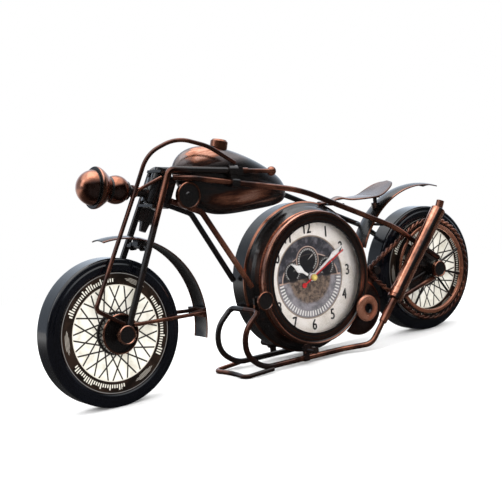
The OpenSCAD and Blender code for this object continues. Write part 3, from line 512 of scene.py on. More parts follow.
def printed_dial():
    """Aged cream dial. Its dark middle has plain gauges above and a ring of white marks below."""
    m = Mat("dial print", "dial_sheet")
    r, angle = m.polar(*CLOCK)
    stain = m.noise(70, detail=6, rough=0.65, distort=0.5)
    blot = m.noise(200, detail=5, rough=0.6)
    cream = m.ramp(stain, DIAL_CREAM)
    cream = m.mix(m.times(m.step(blot, 0.56, 0.76), 0.35), cream, (0.40, 0.34, 0.27))
    cream = m.mix(m.step(r, 46, 53), cream, (0.50, 0.47, 0.42))
    below = m.step(m.size(angle), *LOWER_FROM)
    slate = m.mix(m.step(blot, 0.35, 0.65), (0.16, 0.155, 0.17), (0.31, 0.295, 0.32))
    mottle = m.noise(260, detail=6, rough=0.7, distort=0.2)
    rust = m.mix(m.step(mottle, 0.36, 0.66), (0.05, 0.038, 0.032), (0.27, 0.19, 0.14))
    upper = m.mix(m.step(blot, 0.42, 0.66), (0.032, 0.032, 0.042), (0.14, 0.135, 0.155))
    dark = m.mix(below, upper, m.mix(m.step(r, 19.5, 23), rust, slate))
    tick = m.part(m.times(m.plus(angle, 10.0), MARK_COUNT / TURN))
    marks = m.times(m.band(tick, 0.28, 0.72, 0.06), below, m.band(r, *MARK_R, 0.2))
    dark = m.mix(m.times(marks, 0.95), dark, (0.86, 0.85, 0.82))
    bar = m.times(m.band(m.size(angle), LOWER_FROM[0], 1.645, 0.006), m.band(r, 12, MARK_R[1], 0.3))
    dark = m.mix(m.times(bar, 0.85), dark, LINE_COPPER)
    dark = arch_panel(m, *CLOCK, dark, m.invert(below))
    for gx, gz, radius, ticks, rim in GAUGES:
        dark = gauge(m, CLOCK[0] + gx, CLOCK[1] + gz, radius, ticks, rim, dark)
    colour = m.mix(m.step(r, MIDDLE_R, MIDDLE_R + 0.3), dark, cream)
    colour = m.mix(m.band(r, MIDDLE_R - 0.3, MIDDLE_R + 0.7, 0.2), colour, (0.30, 0.23, 0.17))
    m.surface(Base_Color=colour, Roughness=m.plus(0.48, m.times(blot, 0.2)), Normal=m.bump(blot, 0.05))
    return m


# ---------------------------------------------------------------- looks of the nodes
# bands along the lamp's axis, and painted reflections across the muffler, the room's light and dark strips
# mirrored on the can: from, to, change of tone
LAMP_STREAKS = ((-1.7, -0.3, -0.7), (-0.2, 3.0, 0.15), (9.8, 12.4, -0.5))
MUFFLER_REFLECTIONS = ((-6.8, -5.4, 0.1), (-3.8, -0.8, -0.5), (1.4, 7, 0.3))
GUARD_HALF = 8.5

MATS = {
    "tyre front": tyre_lacquer("tyre front"),
    "tyre rear": tyre_lacquer("tyre rear"),
    "print front": printed_wheel("front print", *FRONT_AXLE),
    "print rear": printed_wheel("rear print", *REAR_AXLE),
    "dial": printed_dial(),
    "glass": clear_glass(),
    "black": antique("black lacquer", "black_steel", 0.1, 0.5),
    "black near": antique("worn black and far shade", "black_steel", 0.26, 0.6),
    "guards": antique("mudguard lacquer", "black_steel", 0.12, 0.4, rough=0.26,
                      slabs=[((0, -GUARD_HALF, 0), (0, -1, 0), -1.3, 1.5, 0.66),
                             ((0, GUARD_HALF, 0), (0, 1, 0), -1.3, 1.5, 0.5)]),
    "cover": antique("cover lacquer", "black_steel", 0.34, 0.9, [(*COVER, 21.9, 23.4, 0.72)]),
    "nuts": antique("nut lacquer", "black_steel", 0.12, 0.3,
                    [(*FRONT_AXLE, 5.6, 7.3, 0.92), (*REAR_AXLE, 5.6, 7.3, 0.86)]),
    "cups": antique("cup lacquer", "black_steel", 0.1, 0.3, [(*FRONT_AXLE, 13.2, 15.2, 0.84, 16.0)]),
    "horn": antique("horn lacquer", "black_steel", 0.08, 0.3, [(*HORN, 8.6, 10.4, 0.8)]),
    "bolt": antique("bolt lacquer", "black_steel", 0.22, 0.3, [(*PIVOT, 6.1, 7.7, 0.78)]),
    "rod": antique("antique rod", "antique_copper", 0.58, 1.0, metal=0.92),
    "fork": antique("fork rod", "antique_copper", 0.22, 0.4, patches=[((47, -13, 148), (30, 30, 26), 0.6)]),
    "rod bright": antique("rubbed rod", "antique_copper", 0.66, 1.0, rough=0.18, metal=0.9),
    "rod dark": antique("dark rod", "antique_copper", 0.5, 0.9, metal=0.92),
    "cradle": antique("cradle rod", "antique_copper", 0.54, 1.2, metal=0.92),
    # the strips across the muffler are painted reflections
    "copper": antique("rubbed copper", "bright_copper", 0.7, 0.9, rough=0.12, wear=0.4, metal=0.95,
                      slabs=[(PIPE_ROOT, PIPE_ACROSS, *streak) for streak in MUFFLER_REFLECTIONS]),
    "lamp": antique("lamp copper", "bright_copper", 0.82, 0.4, coat=0.3, rough=0.18,
                    # the two dark patches are painted shade: the dark room mirrored where the ball and the
                    # bulb face the front
                    patches=[((-6, -11, 158), (10, 8, 9), -0.5), ((15, -10, 153), (7, 6, 7), -0.45)],
                    slabs=[(LAMP, LAMP_AXIS, *streak) for streak in LAMP_STREAKS]),
    # the black in the ring's hole is painted shade
    "eyelet": antique("engine ring copper", "bright_copper", 0.86, 0.4, coat=0.3, hole_shade=[(*EYELET, 3.9)],
                      patches=[((EYELET[0], -23, EYELET[1]), (6.2, 5, 6.2), -0.35)], metal=0.78),
    "ring": antique("ring copper", "bright_copper", 0.8, 0.6, metal=0.8),
    "chain": antique("chain copper", "antique_copper", 0.64, 1.0, rough=0.18, metal=0.86),
    # the grey over the tank's top is painted sheen, a reflection of the pale room above
    "tank": antique("tank lacquer", "tank_enamel", 0.12, 0.3, top_sheen=(164, 176, 0.9, 1.0),
                    grain=(0.16, 1, 1), wear=1.5, metal=0.92,
                    # the first patch is a painted highlight on the tank's top front; the two lower ones are
                    # rubbed copper
                    patches=[((90, -10, 177), (22, 14, 13), 0.85), ((112, -15, 137), (36, 14, 9), 0.62),
                             ((138, -10, 140), (24, 12, 8), 0.42)]),
    "cap": antique("cap copper", "tank_enamel", 0.64, 0.6, rough=0.28),
    # the grey over the seat's top is painted sheen, a reflection of the pale room above
    "seat": antique("seat lacquer", "tank_enamel", 0.42, 0.5, rough=0.34, top_sheen=(123, 125.5, 0.8, 1.9)),
    "drum": antique("drum lacquer", "drum_sheet", 0.1, 0.3,
                    [(*CLOCK, 60.0, 61.8, 0.82, 0), (*CLOCK, 53.4, 54.6, 0.8)],
                    # the two patches are painted highlights, a brown sheen at the left and lower left of the
                    # drum's black front
                    patches=[((140, -10, 86), (12, 10, 20), 0.4), ((152, -10, 27), (14, 10, 14), 0.5)]),
    "bezel": antique("bezel copper", "antique_copper", 0.24, 0.5,
                     [(*CLOCK, 51.6, 54.2, 0.9), (*CLOCK, 49.2, 50.3, 0.66), (*CLOCK, 46.6, 47.5, 0.8)],
                     coat=0.4),
    "movement": plain("moulded black", "movement_plastic", (0.016, 0.016, 0.017), rough=0.5),
    "cell": plain("cell wrap", "battery_can", (0.35, 0.24, 0.06), rough=0.35, metallic=0.5),
    "hand white": plain("white hand", "hand_white", (0.86, 0.86, 0.85), 0.3, scale=900, bumps=0.03, coat=0.3),
    "hand red": plain("red hand", "hand_red", (0.62, 0.018, 0.022), 0.3, scale=900, bumps=0.03, coat=0.3),
    "brass": plain("brass nut", "hand_white", (0.86, 0.70, 0.20), rough=0.3, metallic=0.25),
    "ink": plain("dial ink", "dial_sheet", (0.022, 0.020, 0.022), rough=0.6),
    "steel": plain("hub steel", "hand_white", (0.72, 0.73, 0.74), 0.2, metallic=1.0, scale=300, bumps=0.03),
}

LOOKS = {
    "tyre front": ["front_drum"],
    "tyre rear": ["rear_drum"],
    "print front": ["front_prints"],
    "print rear": ["rear_prints"],
    "dial": ["dial"],
    "glass": ["lens"],
    "nuts": ["axle_nuts"],
    "cups": ["front_cups"],
    "horn": ["horn"],
    "bolt": ["pivot_bolt"],
    "cover": ["engine_cover"],
    # the far-side copies of the copper rods, rail_right, down_tube_right, fork_right and cradle_right, are
    # kept black or nearly black: painted shade on the far side
    "black": ["head_lug", "head_nut", "head_tube", "fork_yokes", "bar_clamps", "lamp_stem", "guard_bolts",
              "rail_right", "down_tube_right", "fork_right", "seat_mounts", "rear_bosses", "back_cover"],
    "black near": ["foot_pegs", "cradle_right", "sprocket", "pulley"],
    "guards": ["front_guard", "rear_guard"],
    "rod": ["brake_levers", "rail_left", "guard_stays", "axles"],
    "fork": ["fork_left"],
    "cradle": ["cradle_left", "stand"],
    "rod bright": ["down_tube_left", "lamp_brace", "muffler_stay", "exhaust_pipes"],
    "rod dark": ["spring_wire"],
    "eyelet": ["engine_ring"],
    "lamp": ["lamp_ball", "lamp_cup", "lamp_neck"],
    "copper": ["muffler"],
    "ring": ["pulley_ring"],
    "chain": ["drive_chain"],
    "tank": ["tank"],
    "seat": ["seat"],
    "cap": ["tank_cap"],
    "drum": ["drum"],
    "bezel": ["bezel"],
    "movement": ["movement", "set_knob"],
    "cell": ["battery"],
    "hand white": ["hour_hand", "minute_hand"],
    "hand red": ["second_hand"],
}


def paint(obj, look):
    obj.data.materials.clear()
    obj.data.materials.append(MATS[look].material)


for look, names in LOOKS.items():
    for name in names:
        paint(nodes[name], look)
unpainted = set(nodes) - {name for names in LOOKS.values() for name in names}
if unpainted:
    raise SystemExit(f"no material on {sorted(unpainted)}")


# ---------------------------------------------------------------- pieces that stand for faceted CAD forms
SHARP_EDGE = math.radians(38)
BEND_STEP = 4.0
ROD_CROWN = 0.25


def finish_piece(obj, look, body="frame", replaces=(), smooth=True):
    paint(obj, look)
    if smooth:
        for face in obj.data.polygons:
            face.use_smooth = True
        obj.data.set_sharp_from_angle(angle=SHARP_EDGE)
    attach(obj, body)
    if replaces:
        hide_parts(*replaces)


def mesh_object(name, verts, faces):
    mesh = bpy.data.meshes.new(name)
    mesh.from_pydata([tuple(v) for v in verts], [], faces)
    mesh.validate()
    mesh.update()
    obj = bpy.data.objects.new(name, mesh)
    scene.collection.objects.link(obj)
    return obj


def filleted(points, bends, degrees=BEND_STEP):
    """The rod's line, with each corner rounded to its bend radius, a point for about every few degrees."""
    points = [Vector(p) for p in points]
    line = [points[0]]
    for before, corner, after, bend in zip(points, points[1:], points[2:], bends):
        u = (corner - before).normalized()
        v = (after - corner).normalized()
        a = u.angle(v)
        centre = corner + (v - u).normalized() * bend / math.cos(a / 2)
        arm = (corner - u * bend * math.tan(a / 2) - centre).normalized()
        n = max(3, int(math.degrees(a) / degrees) + 1)
        line += [centre + bend * (arm * math.cos(a * k / n) + u * math.sin(a * k / n)) for k in range(n + 1)]
    return line + [points[-1]]


def mirrored(line):
    return [(p[0], -p[1], p[2]) for p in line]


def normals_along(tangents):
    """A normal for each point of a line, carried along without twisting."""
    seed = Vector((0, 1, 0)) if abs(tangents[0].y) < 0.9 else Vector((1, 0, 0))
    normals = []
    for t in tangents:
        seed = (seed - t * seed.dot(t)).normalized()
        normals.append(seed)
    return normals


def tube(name, line, d, look, sides=24, replaces=(), cyclic=False):
    """A round mesh tube along a line of points in mm, its ends slightly rounded."""
    points = [Vector(p) for p in line]
    n = len(points)
    if cyclic:
        tangents = [(points[(i + 1) % n] - points[i - 1]).normalized() for i in range(n)]
        radii = [d / 2] * n
    else:
        tangents = [(points[min(i + 1, n - 1)] - points[max(i - 1, 0)]).normalized() for i in range(n)]
        first, last = tangents[0] * ROD_CROWN, tangents[-1] * ROD_CROWN
        points = [points[0], points[0] + first] + points[1:-1] + [points[-1] - last, points[-1]]
        tangents = [tangents[0]] + tangents + [tangents[-1]]
        radii = [d / 2 - ROD_CROWN] + [d / 2] * n + [d / 2 - ROD_CROWN]
        n += 2
    verts = []
    for p, t, u, r in zip(points, tangents, normals_along(tangents), radii):
        v = t.cross(u)
        angles = [TURN * s / sides for s in range(sides)]
        verts += [at(p + r * (u * math.cos(a) + v * math.sin(a))) for a in angles]
    faces = []
    for i in range(n if cyclic else n - 1):
        j = (i + 1) % n
        faces += [(i * sides + s, i * sides + (s + 1) % sides, j * sides + (s + 1) % sides, j * sides + s)
                  for s in range(sides)]
    if not cyclic:
        faces += [tuple(range(sides - 1, -1, -1)), tuple((n - 1) * sides + s for s in range(sides))]
    finish_piece(mesh_object(name, verts, faces), look, replaces=replaces)


def lathe(name, profile, origin, look, axis=(0, -1, 0), body="frame", replaces=(), segments=96):
    """A turned piece: profile points are [radius, distance along axis] in mm, from origin."""
    axis = Vector(axis).normalized()
    origin = Vector(origin)
    u = axis.orthogonal().normalized()
    v = axis.cross(u)
    n = len(profile)
    verts, faces = [], []
    for s in range(segments):
        a = TURN * s / segments
        out = u * math.cos(a) + v * math.sin(a)
        verts += [at(origin + axis * h + out * max(r, 0.001)) for r, h in profile]
        t = (s + 1) % segments
        faces += [(s * n + i, t * n + i, t * n + i + 1, s * n + i + 1) for i in range(n - 1)]
    obj = mesh_object(name, verts, faces)
    turned = bmesh.new()
    turned.from_mesh(obj.data)
    bmesh.ops.recalc_face_normals(turned, faces=turned.faces)
    turned.to_mesh(obj.data)
    turned.free()
    finish_piece(obj, look, body, replaces)


# ---------------------------------------------------------------- frame rods
def on_fork(z):
    """A point of the near fork leg at height z."""
    y = FOOT_Y + (FORK_TOP_HALF - FOOT_Y) * (z - FOOT_Z) / (BAR_BEND_Z - FOOT_Z)
    return (FOOT_X + (z - FOOT_Z) * math.tan(RAKE), -y, z)


def rails():
    rail = filleted([(61, -9.4, 159.6), (74, 0.2 - RAIL_HALF, 157.6), (CLOCK[0] - 10.5, -RAIL_HALF, 138),
                     (WHEELBASE - 43, 0.7 - HUB_Y, 95.8), (WHEELBASE + 4.6, -HUB_Y, WHEEL_R + 8.7)],
                    [10, 150, 100], 1.0)
    tube("top_rail_near", rail, TUBE_D, "rod", replaces=["rail_left"])
    # the far rail in black is painted shade
    tube("top_rail_far", mirrored(rail), TUBE_D, "black", replaces=["rail_right"])


def down_tubes():
    near = [(57, 0.4 - DOWN_HALF, 142.5), (83, -DOWN_HALF, 131), (CRADLE_X + 1.8, -DOWN_HALF, 67.6)]
    far = [(57, DOWN_HALF - 0.4, 142.5), (86, DOWN_HALF, 129.5), (CRADLE_X - 0.9, DOWN_HALF, 72)]
    tube("down_tube_near", filleted(near, [8]), TUBE_D, "rod bright", replaces=["down_tube_left"])
    # the far down tube in black is painted shade
    tube("down_tube_far", filleted(far, [8]), TUBE_D, "black", replaces=["down_tube_right"])


def cradle():
    """The near tube starts as the exhaust's root, the far one at the rear axle, and both loop up in front."""
    loop = [(CRADLE_X + 0.4, -CRADLE_HALF, 4.8), (CRADLE_X - 15.6, -CRADLE_HALF, 17),
            (CRADLE_X - 15.2, -CRADLE_HALF, 36), (CRADLE_X, -CRADLE_HALF, CRADLE_TOP),
            (CRADLE_X, -0.1, CRADLE_TOP)]
    bends = [15, 25, 18, 20, 4.5]
    near = [PIPE_ROOT - PIPE_DIR * 0.2, PIPE_ROOT - PIPE_DIR * 21, (CLOCK[0] + 20.5, -CRADLE_HALF, 4.3)]
    far = [(WHEELBASE - 4.9, -HUB_Y, 47.1), (CLOCK[0] + 31.5, -CRADLE_HALF, 4.4)]
    tube("cradle_near", filleted(near + loop, [12] + bends), TUBE_D, "cradle", replaces=["cradle_left"])
    # the far cradle tube, nearly black, is painted shade
    tube("cradle_far", mirrored(filleted(far + loop, bends)), TUBE_D, "black near", replaces=["cradle_right"])


def stand():
    side = [(CRADLE_X + 6, -STAND_Y, 3.4), (CRADLE_X - 20, 1.6 - STAND_Y, STAND_D / 2)]
    line = side + [(CRADLE_X - 16.2, 0, STAND_D / 2)] + mirrored(reversed(side))
    tube("stand_wire", filleted(line, [5, 60, 5]), STAND_D, "cradle", replaces=["stand"])


def spring_wire():
    line = [(112.4, -17.4, 165), (91, -14.5, 180), (66, -11.5, 188.4), (41.5, -8.6, 179), (30, -7.4, 155),
            (-19, -18.0, 74.5), (2, -20.2, 60.8)]
    tube("long_spring_wire", filleted(line, [40, 32, 26, 40, 4], 3.0), WIRE_D, "rod dark",
         replaces=["spring_wire"])


def fork():
    """Each side's leg and handlebar are one rod, and the eye at its foot is a turned piece."""
    leg = filleted([on_fork(FOOT_Z + 0.8), on_fork(BAR_BEND_Z), BAR_END], [6])
    eye = [(2.56, 17.6), (4.6, 17.6), (5.0, 18.0), (5.0, 22.4), (4.6, 22.8), (2.56, 22.8), (2.56, 17.6)]
    hub = (0, 0, WHEEL_R)
    tube("fork_leg_near", leg, FORK_D, "fork", replaces=["fork_left"])
    lathe("fork_eye_near", eye, hub, "fork", (0, -1, 0), segments=48)
    # the far leg and eye in black are painted shade
    tube("fork_leg_far", mirrored(leg), FORK_D, "black", replaces=["fork_right"])
    lathe("fork_eye_far", eye, hub, "black", (0, 1, 0), segments=48)


# ---------------------------------------------------------------- headlamp and exhaust
def sphere_part(radius, middle, start, end, count):
    """Profile points of a sphere between two angles in degrees, counted from where it starts on the axis."""
    angles = [math.radians(start + (end - start) * k / count) for k in range(count + 1)]
    return [(radius * math.sin(a), middle - radius * math.cos(a)) for a in angles]


def headlamp():
    """The ball, cup and neck, turned on the lamp's own axis."""
    globe = sphere_part(LAMP_BALL_R, 0, 0, 84, 28) + [(12.97, -0.75), (0, -0.75)]
    lathe("lamp_globe", globe, LAMP, "lamp", LAMP_AXIS, replaces=["lamp_ball"])
    collar = [(0, -0.5), (15.0, -0.5), (15.35, -0.1), (15.4, 0.6), (15.3, 1.5), (15.0, 2.5), (14.3, 3.8),
              (13.2, 5.4), (11.8, 7.2), (10.2, 9.2), (8.9, 11.2), (0, 11.2)]
    lathe("lamp_collar", collar, LAMP, "lamp", LAMP_AXIS, replaces=["lamp_cup"])
    front = math.degrees(math.acos(6.4 / LAMP_NECK_R))
    back = math.degrees(math.acos(-6.8 / LAMP_NECK_R))
    bulb = sphere_part(LAMP_NECK_R, 17.8, front, back, 24)
    bulb = [(0, bulb[0][1])] + bulb + [(0, bulb[-1][1])]
    lathe("lamp_bulb", bulb, LAMP, "lamp", LAMP_AXIS, replaces=["lamp_neck"])


def exhaust():
    """One turned can with a collar near its foot."""
    r, collar_r = 6.3, 6.7
    can = [(0, 0), (r - 0.4, 0), (r, 0.4), (r, 2.8), (collar_r, 3.2), (collar_r, 8.8), (r, 9.2), (r, 50),
           (r, MUFFLER_L - 0.5), (r - 0.5, MUFFLER_L), (0, MUFFLER_L)]
    lathe("exhaust_can", can, PIPE_ROOT + PIPE_DIR * MUFFLER_FROM, "copper", PIPE_DIR, replaces=["muffler"])


# ---------------------------------------------------------------- drive chain
def chain():
    """Two wires twisted together, on the same loop as the CAD one. The loop's own origin is the rear axle."""
    big, small = Vector((0, 0)), Vector((SPROCKET[0] - WHEELBASE, SPROCKET[1] - WHEEL_R))
    facing = math.atan2(small.y, small.x)
    lap = math.acos((CHAIN_BIG_R - CHAIN_SMALL_R) / small.length)
    straight = small.length * math.sin(lap)
    big_arc = CHAIN_BIG_R * (TURN - 2 * lap)
    small_arc = CHAIN_SMALL_R * 2 * lap
    length = big_arc + small_arc + 2 * straight

    def on_arc(middle, r, a):
        return Vector((middle[0] + r * math.cos(a), middle[1] + r * math.sin(a)))

    def on_loop(s):
        """The place at a distance along the loop, and its outward direction."""
        if s < big_arc:
            a = facing + lap + s / CHAIN_BIG_R
            return on_arc(big, CHAIN_BIG_R, a), a
        s -= big_arc
        if s < straight:
            a = facing - lap
            return on_arc(big, CHAIN_BIG_R, a).lerp(on_arc(small, CHAIN_SMALL_R, a), s / straight), a
        s -= straight
        if s < small_arc:
            a = facing - lap + s / CHAIN_SMALL_R
            return on_arc(small, CHAIN_SMALL_R, a), a
        s -= small_arc
        a = facing + lap
        return on_arc(small, CHAIN_SMALL_R, a).lerp(on_arc(big, CHAIN_BIG_R, a), s / straight), a

    twists = round(length / CHAIN_LAY)
    count = twists * 22
    for strand in (0, 1):
        line = []
        for i in range(count):
            p, a = on_loop(length * i / count)
            twist = TURN * twists * i / count + math.pi * strand
            out = CHAIN_TWIST_R * math.cos(twist)
            line.append((WHEELBASE + p.x + out * math.cos(a), -CHAIN_Y - CHAIN_TWIST_R * math.sin(twist),
                         WHEEL_R + p.y + out * math.sin(a)))
        tube(f"chain_wire_{strand + 1}", line, CHAIN_WIRE_D, "chain", 12, ["drive_chain"], cyclic=True)


# ---------------------------------------------------------------- tank
def hump(s, p):
    return max(0.0, 4 * s * (1 - s)) ** p


def seam_z(x):
    return 163.5 - 0.1 * (x - TANK_X) - 0.0015 * (x - TANK_X) ** 2


def tank_section(t):
    """Half width, rise above the seam and fall below it, at a share of the tank's length."""
    return (TANK_W / 2 * hump(t ** 0.85, 0.6), TANK_H * 0.41 * hump(t ** 0.697, 0.85 - 0.45 * t),
            TANK_H * 0.6 * hump(t ** 0.625, 1.4 - 0.9 * t))


def tank(rings=72, sides=96):
    """The same pressed form as the CAD one, finer, with a ridge where its halves meet."""
    verts, faces = [], []
    for i in range(1, rings):
        t = 0.5 - 0.5 * math.cos(math.pi * i / rings)
        half, up, down = tank_section(t)
        x = TANK_X + TANK_L * t
        for k in range(sides):
            a = TURN * k / sides
            off = math.sin(a) * max(up, 3) / SEAM_SOFT
            wide = half + SEAM_RIDGE * math.exp(-off ** 2) * min(1, half / 4)
            tall = (up if math.sin(a) > 0 else down) * math.sin(a)
            verts.append(at((x, -wide * math.cos(a), seam_z(x) + tall)))
    for x in (TANK_X, TANK_X + TANK_L):
        verts.append(at((x, 0, seam_z(x))))
    tip = (rings - 1) * sides
    for k in range(sides):
        m = (k + 1) % sides
        faces += [(i * sides + k, (i + 1) * sides + k, (i + 1) * sides + m, i * sides + m)
                  for i in range(rings - 2)]
        faces += [(tip, k, m), (tip + 1, tip - sides + m, tip - sides + k)]
    finish_piece(mesh_object("tank_shell", verts, faces), "tank", replaces=["tank"])


# ---------------------------------------------------------------- seat
def ease(t):
    t = min(1.0, max(0.0, t))
    return t * t * (3 - 2 * t)


# height, outline and dish of the seat at a distance behind its nose
def seat_line(s):
    return 124.8 + 2.2 * math.exp(-((s - 19.6) / 6) ** 2) + 13 * (max(0, s - 53.6) / 29.5) ** 1.5


def seat_round(s):
    return math.sqrt(max(0.03, 1 - (max(0, s - 55) / 22.3) ** 2.6))


def seat_half(s):
    return (3.2 + (SEAT_W / 2 - 3.2) * ease((s - 13.6) / 30)) * seat_round(s)


def seat_lift(s):
    return 2.6 * ease((s - 45.6) / 30) * seat_round(s) - 1.2


def seat_steps(count):
    """Distances behind the nose, closer together towards the round back."""
    return [SEAT_L * (1 - (1 - i / count) ** 1.5) for i in range(count + 1)]


def seat_pan(rows=72, columns=24):
    """One pressed pan, dished, with softly rounded edges."""
    verts, faces = [], []
    for upper in (True, False):
        for s in seat_steps(rows):
            for k in range(columns + 1):
                v = 2 * k / columns - 1
                roll = SEAT_ROLL * (max(0.0, abs(v) - 0.86) / 0.14) ** 2
                drop = roll if upper else SEAT_T - roll
                verts.append(at((SEAT_X + s, seat_half(s) * v, seat_line(s) + seat_lift(s) * v * v - drop)))
    row = columns + 1
    under = (rows + 1) * row
    for i in range(rows):
        for k in range(columns):
            a = i * row + k
            faces += [(a, a + 1, a + row + 1, a + row),
                      (under + a, under + a + row, under + a + row + 1, under + a + 1)]
    rim = [i * row + columns for i in range(rows + 1)] + [rows * row + k for k in range(columns - 1, -1, -1)]
    rim += [i * row for i in range(rows - 1, -1, -1)] + list(range(1, columns))
    faces += [(a, under + a, under + b, b) for a, b in zip(rim, rim[1:] + rim[:1])]
    pan = mesh_object("seat_pan", verts, [tuple(reversed(face)) for face in faces])
    finish_piece(pan, "seat", replaces=["seat"])


def seat_bead():
    """The rolled edge round the seat, rubbed to copper."""
    def edge(s, side):
        return (SEAT_X + s, side * seat_half(s), seat_line(s) + seat_lift(s) - SEAT_T / 2)
    steps = seat_steps(60)
    line = [edge(s, -1) for s in steps] + [edge(s, 1) for s in reversed(steps)]
    tube("seat_bead", line, SEAT_BEAD_D, "rod bright", 10, cyclic=True)


# ---------------------------------------------------------------- dial and hands
def numeral_mesh(hour):
    """The outline of a numeral as a thin flat mesh, upright in its own XY plane."""
    text = bpy.data.curves.new(f"numeral_{hour}", "FONT")
    text.body = str(hour)
    text.size = NUMERAL_SIZE * MM
    text.align_x = "CENTER"
    text.align_y = "CENTER"
    text.extrude = NUMERAL_HALF_T * MM
    text.offset = -0.0001
    obj = bpy.data.objects.new("text", text)
    scene.collection.objects.link(obj)
    bpy.context.view_layer.update()
    mesh = bpy.data.meshes.new_from_object(obj.evaluated_get(bpy.context.evaluated_depsgraph_get()))
    bpy.data.objects.remove(obj)
    mesh.transform(Matrix.Diagonal((NUMERAL_WIDTH, 1, 1, 1)))
    return mesh


def make_bold(mesh):
    bold = bmesh.new()
    for k, (right, up) in enumerate(BOLD_SHIFTS):
        start = len(bold.verts)
        bold.from_mesh(mesh)
        bold.verts.ensure_lookup_table()
        for vert in bold.verts[start:]:
            vert.co += Vector((right * MM, up * MM, BOLD_LIFT * k * MM))
    bold.to_mesh(mesh)
    bold.free()


def numerals():
    for hour in range(1, 13):
        a = TURN * hour / 12
        place = at((CLOCK[0] + NUMERAL_R * math.sin(a), -DIAL_Y - 0.1, CLOCK[1] + NUMERAL_R * math.cos(a)))
        mesh = numeral_mesh(hour)
        make_bold(mesh)
        mesh.transform(Matrix.Translation(place) @ Matrix.Rotation(TURN / 4, 4, "X"))
        obj = bpy.data.objects.new(f"numeral_{hour}", mesh)
        scene.collection.objects.link(obj)
        finish_piece(obj, "ink", smooth=False)


def hand_centre():
    """The brass nut on the second hand and the steel boss of the hour hand."""
    centre = (CLOCK[0], -DIAL_Y, CLOCK[1])
    nut = [(0, 6.5), (1.7, 6.5), (2.3, 6.3), (2.7, 5.7), (2.7, 4.4)]
    lathe("hand_nut", nut, centre, "brass", body="second", segments=48)
    boss = [(2.2, 2.1), (3.9, 2.1), (4.3, 1.8), (4.3, 1.0), (2.2, 1.0), (2.2, 2.1)]
    lathe("hour_boss", boss, centre, "steel", body="hour", segments=48)


# ---------------------------------------------------------------- floor and studio
FLOOR_HALF = 6.0
# what polished metal sees of the floor, from the front of the object to behind it
FLOOR_MIRRORED = (0.03, 0.45)
FLOOR_WHITE = (0.98, 0.98, 0.98)
FLOOR_PALE = (0.7, 0.7, 0.7)
# the distances, in metres, over which the floor gives way to the backdrop
BACKDROP_FROM = (0.26, 0.6)
DIFFUSE_LEVEL = 1.6
CEILING_LEVEL = 1.6
LEFT_LEVEL = 0.42
LEAST_LEVEL = 0.01
WALL_TINT = (0.84, 0.95, 1.1)


def floor_material():
    """White for the camera, pale for light, and dim in metal. Far off, the camera sees the plain backdrop."""
    m = Mat("floor white")
    ray = m.add("ShaderNodeLightPath").outputs
    mirrored_level = m.step(m.xyz()["Y"], 0.1, 0.7, *FLOOR_MIRRORED)
    colour = m.mix(ray["Is Glossy Ray"], FLOOR_PALE, mirrored_level)
    matt = m.add("ShaderNodeBsdfDiffuse")
    m.put(matt.inputs["Color"], m.mix(ray["Is Camera Ray"], colour, FLOOR_WHITE))
    distance = m.add("ShaderNodeVectorMath", operation="LENGTH")
    m.put(distance.inputs[0], m.coord)
    far = m.step(distance.outputs["Value"], *BACKDROP_FROM)
    m.blend(m.times(far, ray["Is Camera Ray"]), matt, m.add("ShaderNodeEmission"))
    return m


def floor():
    h = FLOOR_HALF
    mesh = bpy.data.meshes.new("floor")
    mesh.from_pydata([(-h, -h, 0), (h, -h, 0), (h, h, 0), (-h, h, 0)], [], [(0, 1, 2, 3)])
    mesh.materials.append(floor_material().material)
    obj = bpy.data.objects.new("floor", mesh)
    scene.collection.objects.link(obj)


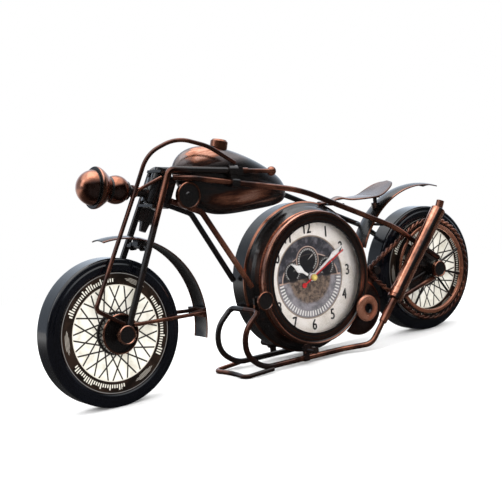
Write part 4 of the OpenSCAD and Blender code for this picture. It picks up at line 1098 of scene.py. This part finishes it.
def studio():
    """Plain white to the camera and through glass. Metal sees a bright ceiling, pale walls behind and to the
    left and a dark room in front, and everything else gets even light."""
    scene.world = bpy.data.worlds.new("studio")
    w = Tree(scene.world, "ShaderNodeOutputWorld", "Generated")
    ray = w.add("ShaderNodeLightPath").outputs
    glossy = ray["Is Glossy Ray"]
    x, y, z = w.xyz()
    ceiling = w.step(z, 0.45, 0.78)
    behind = w.step(w.plus(w.times(x, 0.579), w.times(y, 0.808)), 0.1, 1.0)
    left = w.step(w.plus(w.times(x, -0.8), w.times(y, 0.59)), 0.5, 1.0)
    walls = w.most(behind, w.times(left, LEFT_LEVEL))
    metal = w.plus(w.most(walls, w.times(ceiling, CEILING_LEVEL)), LEAST_LEVEL)
    lit = w.plus(w.times(glossy, metal), w.times(w.invert(glossy), DIFFUSE_LEVEL))
    white = w.most(ray["Is Camera Ray"], ray["Is Transmission Ray"])
    background = w.add("ShaderNodeBackground")
    w.put(background.inputs["Color"], w.mix(w.times(glossy, w.invert(ceiling)), (1, 1, 1), WALL_TINT))
    w.put(background.inputs["Strength"], w.plus(white, w.times(w.invert(white), lit)))
    w.put(w.out.inputs["Surface"], background.outputs[0])


def soft_box(name, place, target, size, power):
    data = bpy.data.lights.new(name, "AREA")
    data.shape = "RECTANGLE"
    data.size, data.size_y = size
    data.energy = power
    obj = bpy.data.objects.new(name, data)
    obj.location = place
    obj.rotation_euler = (Vector(target) - Vector(place)).to_track_quat("-Z", "Y").to_euler()
    scene.collection.objects.link(obj)
    return obj


def lamps():
    middle = (0, 0, 0.08)
    soft_box("ceiling box", (-0.1, 0.1, 1.25), middle, (1.1, 0.8), 4.0)
    soft_box("left box", (-1.15, 0.35, 0.75), middle, (0.5, 0.7), 1.6)
    # the room's own light from the front, which polished metal doesn't mirror
    fill = soft_box("front fill", (-0.35, -1.6, 0.5), (0, 0, 0.07), (1.3, 0.9), 12.0)
    fill.visible_glossy = False


# ---------------------------------------------------------------- camera
# where the photograph was taken from, in metres, and its direction in degrees
VIEW_FROM = Vector((-0.547969, -0.731020, 0.195785))
VIEW_HEADING = 54.37375
VIEW_PITCH = -6.43497
VIEW_ROLL = -5.43872
LENS = 82.693


def camera():
    view = bpy.data.cameras.new("view")
    view.sensor_fit = "HORIZONTAL"
    view.sensor_width = 36.0
    view.lens = LENS
    view.clip_start = 0.05
    view.clip_end = 20
    eye = bpy.data.objects.new("view", view)
    eye.matrix_world = (Matrix.Translation(VIEW_FROM)
                        @ Matrix.Rotation(math.radians(VIEW_HEADING - 90), 4, "Z")
                        @ Matrix.Rotation(math.radians(VIEW_PITCH + 90), 4, "X")
                        @ Matrix.Rotation(math.radians(VIEW_ROLL), 4, "Z"))
    scene.collection.objects.link(eye)
    scene.camera = eye


# ---------------------------------------------------------------- the scene
rails()
down_tubes()
cradle()
stand()
spring_wire()
fork()
headlamp()
exhaust()
chain()
tank()
seat_pan()
seat_bead()
numerals()
hand_centre()
floor()
studio()
lamps()
camera()
scene.view_settings.view_transform = "Standard"
